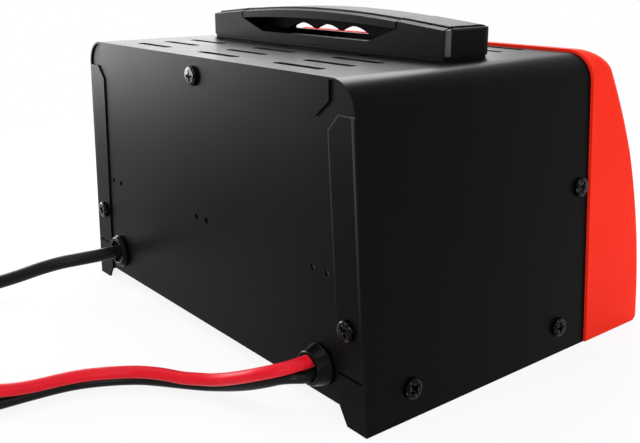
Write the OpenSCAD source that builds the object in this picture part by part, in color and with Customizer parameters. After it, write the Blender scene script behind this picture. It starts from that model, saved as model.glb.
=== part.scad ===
// Car battery charger: a transformer charger in a folded steel case with a
// moulded front, a lifting carrying handle, a mains lead with a plug, and a
// red and a black charging lead that end in battery clamps.
// Millimetres. +Z is up, the front faces -Y and the leads leave at +Y.
// The origin is on the floor under the middle of the case's whole depth.

/* [Case] */
// Width of the case at floor level
case_w = 264; // [250:1:300]
// Height of the case
case_h = 150; // [145:1:180]
// Depth of the steel case, from its rear face to the front moulding
case_d = 154; // [145:1:190]
// Lean of each side wall from upright, in degrees
wall_lean = 4; // [2:0.5:5]
// Outer radius of the two top bends
bend_r = 14; // [10:1:18]
// Thickness of the sheet steel
sheet_t = 1; // [0.8:0.1:1.4]
// Gap between the cover's walls and the chassis inside them
lap_gap = 0.2; // [0.1:0.05:0.4]
// Height of the underside of the base plate above the floor
base_z = 7.6; // [6:0.2:10]
// Height of the chassis's turned-up sides
side_lip_h = 16; // [14:1:20]

/* [Rear flanges] */
// Width of the flange down each side of the rear
flange_w = 17.3; // [15:0.1:19]
// Height of the flange along the top of the rear
flange_h = 16.7; // [14:0.1:20]
// Width of the chamfer at a flange's free corner
flange_chamfer = 9; // [6:0.5:11]
// Height of the relief slit above each rear foot
foot_h = 24.4; // [20:0.2:30]
// Width of the relief slit
slit_w = 0.8; // [0.6:0.1:1.2]
// How much each rear foot narrows towards the floor
foot_taper = 4.5; // [3:0.5:9]
// Diameter of the paired fixing holes in the rear panel
pair_hole_d = 3; // [2:0.5:4]
// Distance between the two holes of a pair
pair_pitch = 10; // [8:0.5:14]
// Height of the paired holes
pair_z = 66.7; // [60:0.1:90]

/* [Vents] */
// Length of a vent slot
slot_l = 36; // [30:1:46]
// Width of a vent slot
slot_w = 5; // [3:0.5:7]
// Distance between the rows of slots
slot_row_pitch = 17.2; // [14:0.1:20]
// Distance between the columns of slots
slot_column_pitch = 67; // [58:1:70]
// Distance of the first row from the rear face
slot_first = 14.9; // [12:0.1:18]
// Distance of the last row from the front moulding
slot_last = 6.5; // [5:0.1:8]

/* [Front moulding] */
// Greatest depth of the front moulding
front_d = 49.5; // [46:0.5:60]
// Wall of the front moulding
front_wall = 2.6; // [2.2:0.1:3.2]
// How far the moulding stands proud of the steel case
front_proud = 1.6; // [0.8:0.1:2.4]
// Radius of the upright curve of the front face
front_curve_r = 300; // [280:5:400]
// Height at which the front face is deepest
front_curve_z = 12; // [8:1:20]
// Radius of the top front edge
front_top_r = 18; // [14:1:22]
// Radius of the bottom front edge
front_bottom_r = 5; // [3:0.5:7]
// Length of the tongue that slides inside the cover
tongue_d = 10; // [9:0.5:14]
// Thickness of the tongue
tongue_t = 2; // [1.6:0.1:2.6]
// Width of the window for the control plate
window_w = 206; // [196:1:216]
// Height of the window for the control plate
window_h = 92; // [86:1:96]
// Height of the middle of the window
window_z = 80; // [76:1:84]
// Depth of the control plate behind the front face
recess = 4; // [3:0.5:6]
// Thickness of the control plate
fascia_t = 2; // [1.6:0.1:3]
// Width of the frame that the control plate lies against
fascia_lap = 5; // [4:0.5:7]

/* [Handle] */
// Length of the handle
handle_l = 200; // [184:1:210]
// Thickness of the handle, front to back
handle_t = 34; // [28:0.5:36]
// Distance of the handle's middle from the rear face
handle_back = 91; // [86:0.5:92]
// Height of the end blocks above the case
block_h = 18; // [16:0.5:22]
// Drop of the end blocks towards their outer ends
block_drop = 2.5; // [1:0.5:4]
// Height of the base bar above the case
bar_h = 6; // [5:0.5:7]
// Height of the narrow plinth under the handle
plinth_h = 1.6; // [1:0.1:2]
// Length of the lifting grip
grip_l = 134; // [124:1:140]
// Rise of the grip's top at its middle
grip_rise = 2.8; // [2:0.2:6]
// Thickness of the grip at its ends
grip_t = 5; // [4:0.5:7]
// Height that the grip lifts
grip_lift = 18; // [12:1:20]
// Number of finger grooves
groove_count = 3; // [3:1:5]
// Distance between finger grooves
groove_pitch = 22; // [20:1:26]
// Depth of a finger groove
groove_depth = 2.8; // [1.5:0.1:3]

/* [Screws] */
// Diameter of a case screw's head
head_d = 10; // [9:0.5:11]
// Height of a case screw's head
head_h = 2.4; // [2:0.1:3]
// Diameter of a case screw's shank
shank_d = 3.8; // [3.4:0.1:4.2]
// Length of a case screw's shank
shank_l = 8; // [7:0.5:10]
// Height of the two rear flange screws
rear_screw_z = 45.3; // [40:0.1:60]
// Height of the lower side screws
side_screw_z = 14.6; // [13:0.2:16]
// Height of the upper side screws
tongue_screw_z = 85; // [70:1:100]

/* [Lead entries] */
// Distance of each bushing from the middle of the rear
entry_x = 100; // [90:1:101]
// Height of the bushings
entry_z = 22.5; // [20:0.5:26]
// Diameter of a bushing's flange
bushing_d = 20; // [18:0.5:21]
// Diameter of a bushing's neck through the panel
bushing_neck_d = 15.8; // [15:0.1:16.4]
// Length of the mains lead's bushing outside the rear face
bushing_out = 3; // [3:0.5:6]
// Length of the charging leads' bushing outside the rear face
lead_bushing_out = 8.5; // [6:0.5:10]
// Length of a bushing inside the panel
bushing_in = 17; // [15:1:20]
// Diameter of the mains lead
mains_d = 8; // [7:0.1:8.4]
// Diameter of each charging lead
lead_d = 6; // [5:0.1:6.2]

/* [Transformer] */
// Width of the laminated core
core_w = 105; // [90:1:110]
// Height of the laminated core
core_h = 88; // [78:1:92]
// Thickness of the stack of laminations
stack_t = 50; // [40:1:54]
// Width of each window in the core
core_window_w = 17.5; // [14:0.5:19]
// Thickness of each winding
winding_t = 6.6; // [5:0.1:6.8]
// Distance of the transformer right of the middle
core_x = 30; // [26:1:32]
// Distance of the transformer's middle in front of the rear face
core_back = 66; // [60:1:70]

/* [Controls] */
// Width of the ammeter's bezel
meter_w = 60; // [54:1:66]
// Height of the ammeter's bezel
meter_h = 54; // [50:1:60]
// Depth of the ammeter's case behind the plate
meter_d = 28; // [24:1:30]
// Length of the ammeter's needle
needle_l = 26; // [22:1:27]
// Sweep of the needle from zero to full scale, in degrees
needle_sweep = 80; // [60:5:90]
// Distance between the rocker switches
switch_pitch = 32; // [30:1:34]
// Length of a rocker
rocker_l = 24; // [22:0.5:26]
// Width of a rocker
rocker_w = 16.6; // [15:0.2:17.4]
// Swing of a rocker from one side to the other, in degrees
rocker_swing = 20; // [14:1:22]
// Diameter of the circuit breaker's reset button
reset_d = 8; // [6:0.5:9]
// Travel of the reset button
reset_travel = 3; // [2:0.5:4]
// Diameter of a pilot lamp's lens
lamp_d = 9; // [8:0.5:11]

/* [Clamps] */
// Length of a clamp's jaws in front of the pivot
jaw_l = 52; // [46:1:58]
// Length of a clamp's handles behind the pivot
arm_l = 60; // [54:1:64]
// Width of a clamp
clamp_w = 16; // [14:0.5:18]
// Diameter of a clamp's pivot pin
clamp_pin_d = 4; // [3.6:0.1:4.4]
// Distance between the teeth of a jaw
tooth_pitch = 4; // [3:0.5:5]

/* [Plug] */
// Diameter of the plug's body
plug_d = 37; // [35:0.5:38]
// Length of the plug's body
plug_l = 34; // [30:1:38]
// Length of the plug's tapered strain relief
plug_relief_l = 28; // [24:1:34]
// Diameter of a plug pin
plug_pin_d = 4.8; // [4.7:0.05:4.9]
// Length of a plug pin
plug_pin_l = 19; // [18:0.5:20]
// Distance between the plug pins
plug_pin_pitch = 19; // [18:0.5:20]

/* [Hidden] */
$fn = 40;

// Planes of the case
rear_y = (case_d + front_d - lead_bushing_out) / 2;
join_y = rear_y - case_d;
front_y = join_y - front_d;
panel_y = rear_y - sheet_t;
bend_z = case_h - bend_r;
cut = 1;

// Half the width of the case at height z, measured inset from its outer face
function half_w(z, inset = 0) = case_w / 2 - z * tan(wall_lean) - inset / cos(wall_lean);
bend_x = half_w(bend_z) - bend_r / cos(wall_lean);

// Outline of the case across its width, inset from its outer face, down to z0
bend_steps = 10;
function bend_point(side, inset, a) =
    [side * (bend_x + (bend_r - inset) * cos(a)), bend_z + (bend_r - inset) * sin(a)];
function case_outline(inset, z0 = 0) = concat(
    [[half_w(z0, inset), z0]],
    [for (i = [0:bend_steps]) bend_point(1, inset, wall_lean + (90 - wall_lean) * i / bend_steps)],
    [for (i = [bend_steps:-1:0]) bend_point(-1, inset, wall_lean + (90 - wall_lean) * i / bend_steps)],
    [[-half_w(z0, inset), z0]]);

// A flat shape drawn in X and Z, carried forward from y by a length
module along_y(y, length) {
    translate([0, y, 0]) rotate([90, 0, 0]) linear_extrude(length) children();
}

// A flat shape drawn in Y and Z, carried across the middle by a length
module along_x(length) {
    rotate([90, 0, 90]) linear_extrude(length, center = true) children();
}

// A child set on both sides of the case
module both_sides() {
    children();
    mirror([1, 0, 0]) children();
}

// A child set on the right wall's outer face, its Z pointing out of the wall
module on_wall(y, z) {
    translate([half_w(z), y, z]) rotate([0, 90 - wall_lean, 0]) children();
}

// A child set on the rear face, its Z pointing out to the rear
module on_rear(x, z, y = rear_y) {
    translate([x, y, z]) rotate([-90, 0, 0]) children();
}

// A rectangle with round corners
module rounded(w, h, r) {
    steps = 5;
    points = [for (c = [0:3], i = [0:steps])
        let (a = 90 * c + 90 * i / steps,
             sx = (c == 0 || c == 3) ? 1 : -1,
             sy = (c < 2) ? 1 : -1)
        [sx * (w / 2 - r) + r * cos(a), sy * (h / 2 - r) + r * sin(a)]];
    polygon(points);
}

// ---------------------------------------------------------------- screws

screw_r = shank_d / 2;
screw_hole_r = screw_r + 0.3;
recess_w = head_d * 0.5;
recess_t = 1.2;

// A pan-head screw with a cross recess: its head stands on the plane z = 0
module pan_screw(d, h, r, l) {
    difference() {
        union() {
            rotate_extrude() polygon(concat([[0, 0], [d / 2 - 0.2, 0], [d / 2, 0.3], [d / 2, h * 0.45]],
                [for (a = [15:15:90]) [d / 2 * cos(a), h * 0.45 + h * 0.55 * sin(a)]]));
            translate([0, 0, -l]) cylinder(h = l, r = r);
        }
        for (turn = [0, 90])
            rotate([0, 0, turn + 45]) translate([-recess_w / 2, -recess_t / 2, h * 0.4])
                cube([recess_w, recess_t, h]);
    }
}

top_screw_z = case_h - flange_h * 0.57;
rear_screw_x = half_w(rear_screw_z) - flange_w * 0.58;
front_screw_y = join_y + 23;
back_screw_y = rear_y - 27;
tongue_screw_y = join_y + 7.2;

module rear_screw_places() {
    on_rear(0, top_screw_z) children();
    for (side = [-1, 1]) on_rear(side * rear_screw_x, rear_screw_z) children();
}

module side_screw_places() {
    both_sides() {
        on_wall(front_screw_y, side_screw_z) children();
        on_wall(back_screw_y, side_screw_z) children();
        on_wall(tongue_screw_y, tongue_screw_z) children();
    }
}

module rear_screws() {
    color("#101011") rear_screw_places() pan_screw(head_d, head_h, screw_r, shank_l);
}

module side_screws() {
    color("#101011") side_screw_places() pan_screw(head_d, head_h, screw_r, shank_l);
}

// ---------------------------------------------------------------- cover

// Four rows of slots behind the handle and three in front of it, from the rear face
slot_rows = 4;
slot_ys = concat([for (k = [0:slot_rows - 1]) rear_y - slot_first - k * slot_row_pitch],
    [for (k = [0:slot_rows - 2]) join_y + slot_last + k * slot_row_pitch]);

module vent_slot() {
    for (end = [-1, 1])
        translate([end * (slot_l - slot_w) / 2, 0, -sheet_t - cut]) cylinder(h = sheet_t + 2 * cut,
            d = slot_w);
    translate([-(slot_l - slot_w) / 2, -slot_w / 2, -sheet_t - cut])
        cube([slot_l - slot_w, slot_w, sheet_t + 2 * cut]);
}

// The flange bent down along the top of the rear, with chamfered ends
top_flange_x = bend_x - 1.4;
module top_flange() {
    low = case_h - flange_h;
    polygon([[-top_flange_x, case_h], [-top_flange_x, low + flange_chamfer * 0.8],
        [-top_flange_x + flange_chamfer, low], [top_flange_x - flange_chamfer, low],
        [top_flange_x, low + flange_chamfer * 0.8], [top_flange_x, case_h]]);
}

// The flange down the right side of the rear, with its foot below a slit
module side_flange() {
    top = bend_z;
    corner_z = top - flange_chamfer * 0.8;
    foot_z = base_z + 0.4;
    difference() {
        polygon([[half_w(0), 0], [half_w(top), top], [half_w(top) - flange_w + flange_chamfer * 0.8, top],
            [half_w(corner_z) - flange_w, corner_z], [half_w(foot_z) - flange_w, foot_z],
            [half_w(0) - flange_w + foot_taper, 0]]);
        translate([half_w(foot_h) - flange_w - cut, foot_h]) square([flange_w + cut - sheet_t, slit_w]);
    }
}

module cover() {
    color("#1d1d20") difference() {
        union() {
            along_y(rear_y, case_d) difference() {
                polygon(case_outline(0));
                polygon(case_outline(sheet_t, -cut));
            }
            along_y(rear_y, sheet_t) top_flange();
            along_y(rear_y, sheet_t) side_flange();
            along_y(rear_y, sheet_t) mirror([1, 0]) side_flange();
        }
        for (y = slot_ys, column = [-1, 0, 1])
            translate([column * slot_column_pitch, y, case_h]) vent_slot();
        rear_screw_places() translate([0, 0, -sheet_t - cut]) cylinder(h = sheet_t + 2 * cut,
            r = screw_hole_r);
        side_screw_places() translate([0, 0, -sheet_t - cut]) cylinder(h = sheet_t + 2 * cut,
            r = screw_hole_r);
        for (side = [-1, 1]) {
            translate([side * handle_screw_x, handle_y, case_h - sheet_t - cut])
                cylinder(h = sheet_t + 2 * cut, r = screw_hole_r);
            translate([side * leg_x - guide_w / 2 - 0.2, handle_y - guide_t / 2 - 0.2,
                case_h - sheet_t - cut])
                cube([guide_w + 0.4, guide_t + 0.4, sheet_t + 2 * cut]);
        }
    }
}

// ---------------------------------------------------------------- chassis

chassis_inset = sheet_t + lap_gap;
floor_top = base_z + sheet_t;
lip_front_y = join_y + tongue_d + 1;

// A leaning-sided strip of the case's outline between two heights
module strip(inset, z0, z1) {
    polygon([[-half_w(z0, inset), z0], [half_w(z0, inset), z0], [half_w(z1, inset), z1],
        [-half_w(z1, inset), z1]]);
}

module chassis() {
    color("#2a2a2d") difference() {
        union() {
            along_y(panel_y, sheet_t) polygon(case_outline(chassis_inset, base_z));
            along_y(panel_y, panel_y - join_y - lap_gap) strip(chassis_inset, base_z, floor_top);
            along_y(panel_y, panel_y - lip_front_y) difference() {
                strip(chassis_inset, base_z, base_z + side_lip_h);
                strip(chassis_inset + sheet_t, floor_top, base_z + side_lip_h + cut);
            }
        }
        rear_screw_places() translate([0, 0, -3 * sheet_t]) cylinder(h = 3 * sheet_t, r = screw_hole_r);
        side_screw_places() translate([0, 0, -shank_l]) cylinder(h = shank_l, r = screw_hole_r);
        for (side = [-1, 1])
            on_rear(side * entry_x, entry_z, panel_y) translate([0, 0, -sheet_t - cut])
                cylinder(h = sheet_t + 2 * cut, d = bushing_neck_d + 0.2);
        for (group = [-1, 0, 1], side = [-0.5, 0.5])
            on_rear(group * (entry_x - 0.7) + side * pair_pitch, pair_z, panel_y) translate([0, 0,
                -sheet_t - cut])
                cylinder(h = sheet_t + 2 * cut, d = pair_hole_d);
        bolt_places() translate([0, 0, -sheet_t - cut]) cylinder(h = sheet_t + 2 * cut, r = bolt_r + 0.3);
        for (k = [0:3])
            translate([sink_x + 24, rear_y - 40 - 16 * k, floor_top]) vent_slot();
    }
}

// ---------------------------------------------------------------- front moulding

// Depth of the front face at height z
function face_y(z) = front_y + front_curve_r - sqrt(pow(front_curve_r, 2) - pow(z - front_curve_z, 2));

// Side outline of the front moulding, inset from its outer face
function curve_point(inset, a) =
    [front_y + front_curve_r - (front_curve_r - inset) * cos(a),
        front_curve_z + (front_curve_r - inset) * sin(a)];
front_top_z = case_h + front_proud;
top_r_z = front_top_z - front_top_r;
top_r_a = asin((top_r_z - front_curve_z) / (front_curve_r - front_top_r));
top_r_y = front_y + front_curve_r - (front_curve_r - front_top_r) * cos(top_r_a);
low_r_a = asin((front_curve_z - front_bottom_r) / (front_curve_r - front_bottom_r));
low_r_y = front_y + front_curve_r - (front_curve_r - front_bottom_r) * cos(low_r_a);
function front_profile(inset, y_back) = concat(
    [[y_back, inset]],
    [for (i = [0:4]) let (a = -90 + (90 - low_r_a) * i / 4)
        [low_r_y - (front_bottom_r - inset) * cos(a), front_bottom_r + (front_bottom_r - inset) * sin(a)]],
    [for (i = [0:10]) curve_point(inset, -low_r_a + (top_r_a + low_r_a) * i / 10)],
    [for (i = [1:6]) let (a = top_r_a + (90 - top_r_a) * i / 6)
        [top_r_y - (front_top_r - inset) * cos(a), top_r_z + (front_top_r - inset) * sin(a)]],
    [[y_back, front_top_z - inset]]);

window_low = window_z - window_h / 2;
window_high = window_z + window_h / 2;
fascia_lean = atan((face_y(window_high) - face_y(window_low)) / window_h);
fascia_y = (face_y(window_high) + face_y(window_low)) / 2 + recess / cos(fascia_lean);
window_slant = window_h / cos(fascia_lean);
frame_depth = 26;

// A child set on the outer face of the control plate: X right, Z up the plate, -Y out
module on_plate(u = 0, v = 0) {
    translate([0, fascia_y, window_z]) rotate([-fascia_lean, 0, 0]) translate([u, 0, v]) children();
}

module front_solid(inset) {
    intersection() {
        along_x(case_w + 10) polygon(front_profile(inset, join_y));
        along_y(join_y + cut, front_d + 2 * cut) polygon(case_outline(inset - front_proud, inset));
    }
}

rim_d = 3;
tongue_in = chassis_inset;
module front_moulding() {
    color("#e23a24") difference() {
        union() {
            difference() {
                front_solid(0);
                front_solid(front_wall);
            }
            // Rim that closes the step between the outer wall and the tongue
            along_y(join_y, rim_d) difference() {
                polygon(case_outline(-front_proud * 0.5, 0.5));
                polygon(case_outline(tongue_in + tongue_t, floor_top + 4));
            }
            // Tongue inside the cover, above the base plate
            along_y(join_y + tongue_d, tongue_d + rim_d) difference() {
                polygon(case_outline(tongue_in, floor_top + lap_gap));
                polygon(case_outline(tongue_in + tongue_t, floor_top));
            }
            // Frame round the window, from the front face back to the control plate
            intersection() {
                front_solid(0);
                on_plate() translate([-window_w / 2 - fascia_lap, -frame_depth,
                    -window_slant / 2 - fascia_lap])
                    cube([window_w + 2 * fascia_lap, frame_depth, window_slant + 2 * fascia_lap]);
            }
        }
        on_plate() translate([-window_w / 2, -frame_depth, -window_slant / 2])
            cube([window_w, 2 * frame_depth, window_slant]);
        side_screw_places() translate([0, 0, -shank_l - cut]) cylinder(h = shank_l + cut, r = screw_hole_r);
        plate_screw_places() translate([0, 0, -plate_screw_l]) cylinder(h = plate_screw_l,
            r = plate_screw_r + 0.05);
    }
}

// ---------------------------------------------------------------- control plate

plate_screw_r = 1.3;
plate_screw_l = 5;
// Spread of the gaps between the controls, 1 when all three groups have their usual room
gap_share = (window_w - meter_w - 2 * switch_pitch) / 82;
meter_u = meter_w / 2 + 15 * gap_share - window_w / 2;
meter_v = 2;
meter_body = 46;
switch_v = 8;
lamp_u = window_w / 2 - 14 * gap_share;
switch_u = lamp_u - 25 * gap_share - 2 * switch_pitch;
lamp_v = 12;
lamp_pitch = 20;
breaker_u = switch_u + switch_pitch;
breaker_v = -30;
neck_r = reset_d / 2 + 2;

// Places of the plate's corner screws, their Z pointing out to the front
module plate_screw_places() {
    for (side = [-1, 1], end = [-1, 1])
        on_plate(side * (window_w + fascia_lap) / 2, end * (window_slant + fascia_lap) / 2)
            rotate([-90, 0, 0]) translate([0, 0, fascia_t]) children();
}

module control_plate() {
    color("#17171a") difference() {
        on_plate() translate([-window_w / 2 - fascia_lap, 0, -window_slant / 2 - fascia_lap])
            cube([window_w + 2 * fascia_lap, fascia_t, window_slant + 2 * fascia_lap]);
        on_plate(meter_u, meter_v) translate([-meter_body / 2 - 0.1, -cut, -meter_body / 2 - 0.1])
            cube([meter_body + 0.2, fascia_t + 2 * cut, meter_body + 0.2]);
        for (k = [0:2])
            on_plate(switch_u + k * switch_pitch, switch_v) translate([-body_w / 2 - 0.1, -cut,
                -body_l / 2 - 0.1])
                cube([body_w + 0.2, fascia_t + 2 * cut, body_l + 0.2]);
        on_plate(breaker_u, breaker_v) rotate([-90, 0, 0]) translate([0, 0, -cut])
            cylinder(h = fascia_t + 2 * cut, r = neck_r + 0.1);
        for (k = [0, 1])
            on_plate(lamp_u, lamp_v - k * lamp_pitch) rotate([-90, 0, 0]) translate([0, 0, -cut])
                cylinder(h = fascia_t + 2 * cut, d = lamp_d - 1.8);
        plate_screw_places() translate([0, 0, -plate_screw_l])
            cylinder(h = plate_screw_l + cut, r = plate_screw_r + 0.2);
    }
}

module plate_screws() {
    color("#8f9194") plate_screw_places() pan_screw(5, 1.6, plate_screw_r, plate_screw_l);
}

// ---------------------------------------------------------------- handle

handle_y = rear_y - handle_back;
half_l = handle_l / 2;
seam_x = grip_l / 2;
bar_top = case_h + bar_h;
block_z = case_h + block_h;
slope_foot = seam_x - 21;
slope_top = bar_top + 7;
grip_under = block_z - grip_t;
leg_x = seam_x - 5;
leg_w = 6;
leg_t = 14;
guide_gap = 0.25;
guide_w = leg_w + 2 * guide_gap + 3.2;
guide_t = leg_t + 2 * guide_gap + 3.2;
guide_low = case_h - 8;
leg_low = guide_low - grip_lift;
handle_screw_x = half_l - 12;
groove_t = 1.2;
groove_in = 4;

// Height of an arch at x that rises by a given amount over the grip's length
function arch_r(rise) = (pow(seam_x, 2) + pow(rise, 2)) / (2 * rise);
function arch(x, rise) = sqrt(pow(arch_r(rise), 2) - pow(x, 2)) - arch_r(rise) + rise;
arch_steps = 16;
function arch_line(z, rise, from, to) = [for (i = [0:arch_steps])
    let (x = from + (to - from) * i / arch_steps) [x, z + arch(x, rise)]];

// Plan of the handle, inset all round: tight corners at the rear and easy ones at the front
module handle_plan(inset) {
    rounded(handle_l - 2 * inset, handle_t - 2 * inset, 10 - inset);
    translate([0, handle_t / 4]) rounded(handle_l - 2 * inset, handle_t / 2 - 2 * inset, 2.5 - inset);
}

// Side outline of the right half of the handle's base
module handle_half() {
    polygon([[0, case_h + plinth_h], [half_l, case_h + plinth_h], [half_l, block_z - block_drop - 2],
        [half_l - 0.6, block_z - block_drop - 0.6], [half_l - 2, block_z - block_drop],
        [seam_x + 8, block_z - 0.4], [seam_x, block_z], [seam_x, slope_top], [slope_foot, bar_top],
        [0, bar_top]]);
}

module handle_base() {
    color("#202023") difference() {
        union() {
            intersection() {
                along_y(handle_y + handle_t / 2, handle_t) union() {
                    handle_half();
                    mirror([1, 0]) handle_half();
                }
                translate([0, handle_y, case_h]) linear_extrude(block_h + 1) handle_plan(0);
            }
            // Plinth, narrower than the handle
            translate([0, handle_y, case_h]) linear_extrude(plinth_h) handle_plan(1.5);
            // Guides for the grip's legs, through the cover
            for (side = [-1, 1])
                translate([side * leg_x - guide_w / 2, handle_y - guide_t / 2, guide_low])
                    cube([guide_w, guide_t, bar_top - guide_low]);
        }
        for (side = [-1, 1]) {
            translate([side * leg_x - leg_w / 2 - guide_gap, handle_y - leg_t / 2 - guide_gap,
                guide_low - cut])
                cube([leg_w + 2 * guide_gap, leg_t + 2 * guide_gap, block_h + 20]);
            translate([side * handle_screw_x, handle_y, case_h - cut]) cylinder(h = 10, r = screw_r + 0.05);
            // Lengthwise groove along each long side of the bar
            translate([-slope_foot, handle_y + side * handle_t / 2 - 0.8, case_h + 3])
                cube([2 * slope_foot, 1.6, 0.8]);
        }
    }
}

module handle_grip() {
    color("#242428") difference() {
        union() {
            along_y(handle_y + handle_t / 2, handle_t)
                polygon(concat(arch_line(grip_under, 2, -seam_x + 0.3, seam_x - 0.3),
                    arch_line(block_z, grip_rise, seam_x - 0.3, -seam_x + 0.3)));
            for (side = [-1, 1])
                translate([side * leg_x - leg_w / 2, handle_y - leg_t / 2, leg_low])
                    cube([leg_w, leg_t, grip_under + 1 - leg_low]);
        }
        // Two lengthwise grooves along the top
        for (side = [-1, 1])
            along_y(handle_y + side * (handle_t / 2 - groove_in) + groove_t / 2, groove_t)
                polygon(concat(arch_line(block_z - 0.8, grip_rise, -seam_x, seam_x),
                    [[seam_x, block_z + 20], [-seam_x, block_z + 20]]));
        for (side = [-1, 1])
            translate([side * leg_x, handle_y, leg_low - cut]) cylinder(h = 8, r = screw_r + 0.05);
    }
}

// Soft pad under the grip, with a groove for each finger
pad_l = groove_count * groove_pitch;
pad_t = handle_t * 0.35;
pad_low = slope_top - 4.2;
pad_r = (pow(groove_pitch / 2, 2) + pow(groove_depth, 2)) / (2 * groove_depth);
function groove_z(x) = let (f = x / groove_pitch - floor(x / groove_pitch) - 0.5)
    pad_low + sqrt(pow(pad_r, 2) - pow(f * groove_pitch, 2)) - (pad_r - groove_depth);
module grip_pad() {
    steps = groove_count * 8;
    lower = [for (i = [0:steps]) let (x = -pad_l / 2 + pad_l * i / steps) [x, groove_z(x + pad_l / 2)]];
    upper = [for (i = [steps:-1:0]) let (x = -pad_l / 2 + pad_l * i / steps)
        [x, grip_under + arch(x, 2) - 0.02]];
    color("#141416") along_y(handle_y + pad_t / 2, pad_t) polygon(concat(lower, upper));
}

// Screws in the feet of the grip's legs, whose heads stop under the guides
stop_screw_l = 6;
module grip_stops() {
    color("#9a9c9f") for (side = [-1, 1])
        translate([side * leg_x, handle_y, leg_low]) mirror([0, 0, 1])
            pan_screw(head_d, head_h, screw_r, stop_screw_l);
}

module handle_screws() {
    color("#9a9c9f") for (side = [-1, 1])
        translate([side * handle_screw_x, handle_y, case_h - sheet_t]) mirror([0, 0, 1])
            pan_screw(head_d, head_h, screw_r, shank_l);
}

// ---------------------------------------------------------------- lead bushings

bore_gap = 0.1;

// A bushing about Z that stands out from the plane z = 0, with round bores at the given offsets
module bushing(out, bore_d, offsets) {
    inside = bushing_neck_d / 2;
    difference() {
        rotate_extrude() polygon([[0, -bushing_in], [inside - 0.9, -bushing_in],
            [inside - 0.4, -bushing_in + 2],
            [inside, -3 * sheet_t], [inside, 0], [bushing_d / 2, 0], [bushing_d / 2, out - 1.6],
            [bushing_d / 2 - 0.5, out - 0.5], [bushing_d / 2 - 1.6, out], [bushing_d / 2 - 2.6, out - 0.3],
            [bushing_d / 2 - 3, out - 2.4], [0, out - 2.4]]);
        for (v = offsets)
            translate([0, v, -bushing_in - cut]) cylinder(h = bushing_in + out + 2 * cut,
                d = bore_d + 2 * bore_gap);
    }
}

pair_gap = lead_d / 2 + 0.5;
module mains_bushing() {
    color("#0f0f10") on_rear(entry_x, entry_z, panel_y)
        bushing(bushing_out + sheet_t, mains_d, [0]);
}

module lead_bushing() {
    color("#0f0f10") on_rear(-entry_x, entry_z, panel_y)
        bushing(lead_bushing_out + sheet_t, lead_d, [-pair_gap, pair_gap]);
}

// ---------------------------------------------------------------- transformer

core_y = rear_y - core_back;
leg_half = (core_w - 2 * core_window_w) / 4;
window_tall = core_h - 2 * leg_half;
core_mid_z = floor_top + core_h / 2;
bolt_r = 2;
strap_t = 1.2;
strap_w = 22;
strap_gap = 0.1;
strap_foot = 14;
bolt_x = core_w / 2 + strap_gap + strap_t + strap_foot / 2;

module bolt_places() {
    for (side = [-1, 1], end = [-1, 1])
        translate([core_x + side * bolt_x, core_y + end * strap_w / 4, floor_top]) children();
}

module transformer_core() {
    color("#5b5d61") difference() {
        translate([core_x - core_w / 2, core_y - stack_t / 2, floor_top]) cube([core_w, stack_t, core_h]);
        for (side = [-1, 1])
            translate([core_x + side * (leg_half + core_window_w / 2) - core_window_w / 2,
                core_y - stack_t / 2 - cut, core_mid_z - window_tall / 2])
                cube([core_window_w, stack_t + 2 * cut, window_tall]);
    }
}

former_t = 1.2;
former_r = 1;
former_gap = 0.3;
former_w = 2 * (leg_half + former_gap + former_t);
former_d = stack_t + 2 * (former_gap + former_t);

module wound_block(w, d, h, r) {
    translate([core_x, core_y, core_mid_z - h / 2]) linear_extrude(h) rounded(w, d, r);
}

// Tube round the core's middle leg, with a flange at each end and four wire tags on the flanges'
// front edges
tag_pitch = 9;
tag_t = 4;
flange_front = core_y - former_d / 2 - 2 * winding_t - 2;
tag_y = flange_front - tag_t + 1;
former_tall = window_tall - 2 * former_gap;
low_tag_z = core_mid_z - former_tall / 2 + tag_t / 2;
high_tag_z = core_mid_z + former_tall / 2 - tag_t / 2;
module bobbin() {
    tall = former_tall;
    reach = 2 * winding_t;
    color("#d8cfae") difference() {
        union() {
            wound_block(former_w, former_d, tall, former_r);
            for (end = [-1, 1])
                translate([0, 0, end * (tall - former_t) / 2])
                    wound_block(former_w + 2 * reach, former_d + 2 * reach + 4, former_t, 3);
            for (side = [-1, 1], z = [low_tag_z, high_tag_z])
                translate([core_x + side * tag_pitch - tag_t / 2, tag_y, z - tag_t / 2]) cube(tag_t);
        }
        translate([core_x - leg_half - former_gap, core_y - stack_t / 2 - former_gap,
            core_mid_z - window_tall])
            cube([2 * (leg_half + former_gap), stack_t + 2 * former_gap, 2 * window_tall]);
    }
}

winding_h = window_tall - 2 * former_gap - 2 * former_t - 0.4;
module winding(inner, outer) {
    difference() {
        wound_block(former_w + 2 * outer, former_d + 2 * outer, winding_h, former_r + outer);
        wound_block(former_w + 2 * inner, former_d + 2 * inner, winding_h + 2 * cut, former_r + inner);
    }
}

module primary_winding() {
    color("#a8582c") winding(0.1, winding_t - 0.1);
}

module secondary_winding() {
    color("#c4763c") winding(winding_t + 0.1, 2 * winding_t - 0.4);
}

// Steel strap over the core, with a foot on the base plate at each side
module core_strap() {
    inner = core_w / 2 + strap_gap;
    outer = inner + strap_t;
    foot = outer + strap_foot;
    under = floor_top + core_h + strap_gap;
    color("#8d9095") difference() {
        translate([core_x, core_y, 0]) along_y(strap_w / 2, strap_w)
            polygon([[-foot, floor_top], [-inner, floor_top], [-inner, under], [inner, under],
                [inner, floor_top], [foot, floor_top], [foot, floor_top + strap_t],
                [outer, floor_top + strap_t], [outer, under + strap_t], [-outer, under + strap_t],
                [-outer, floor_top + strap_t], [-foot, floor_top + strap_t]]);
        bolt_places() translate([0, 0, -cut]) cylinder(h = strap_t + 2 * cut, r = bolt_r + 0.3);
    }
}

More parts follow.
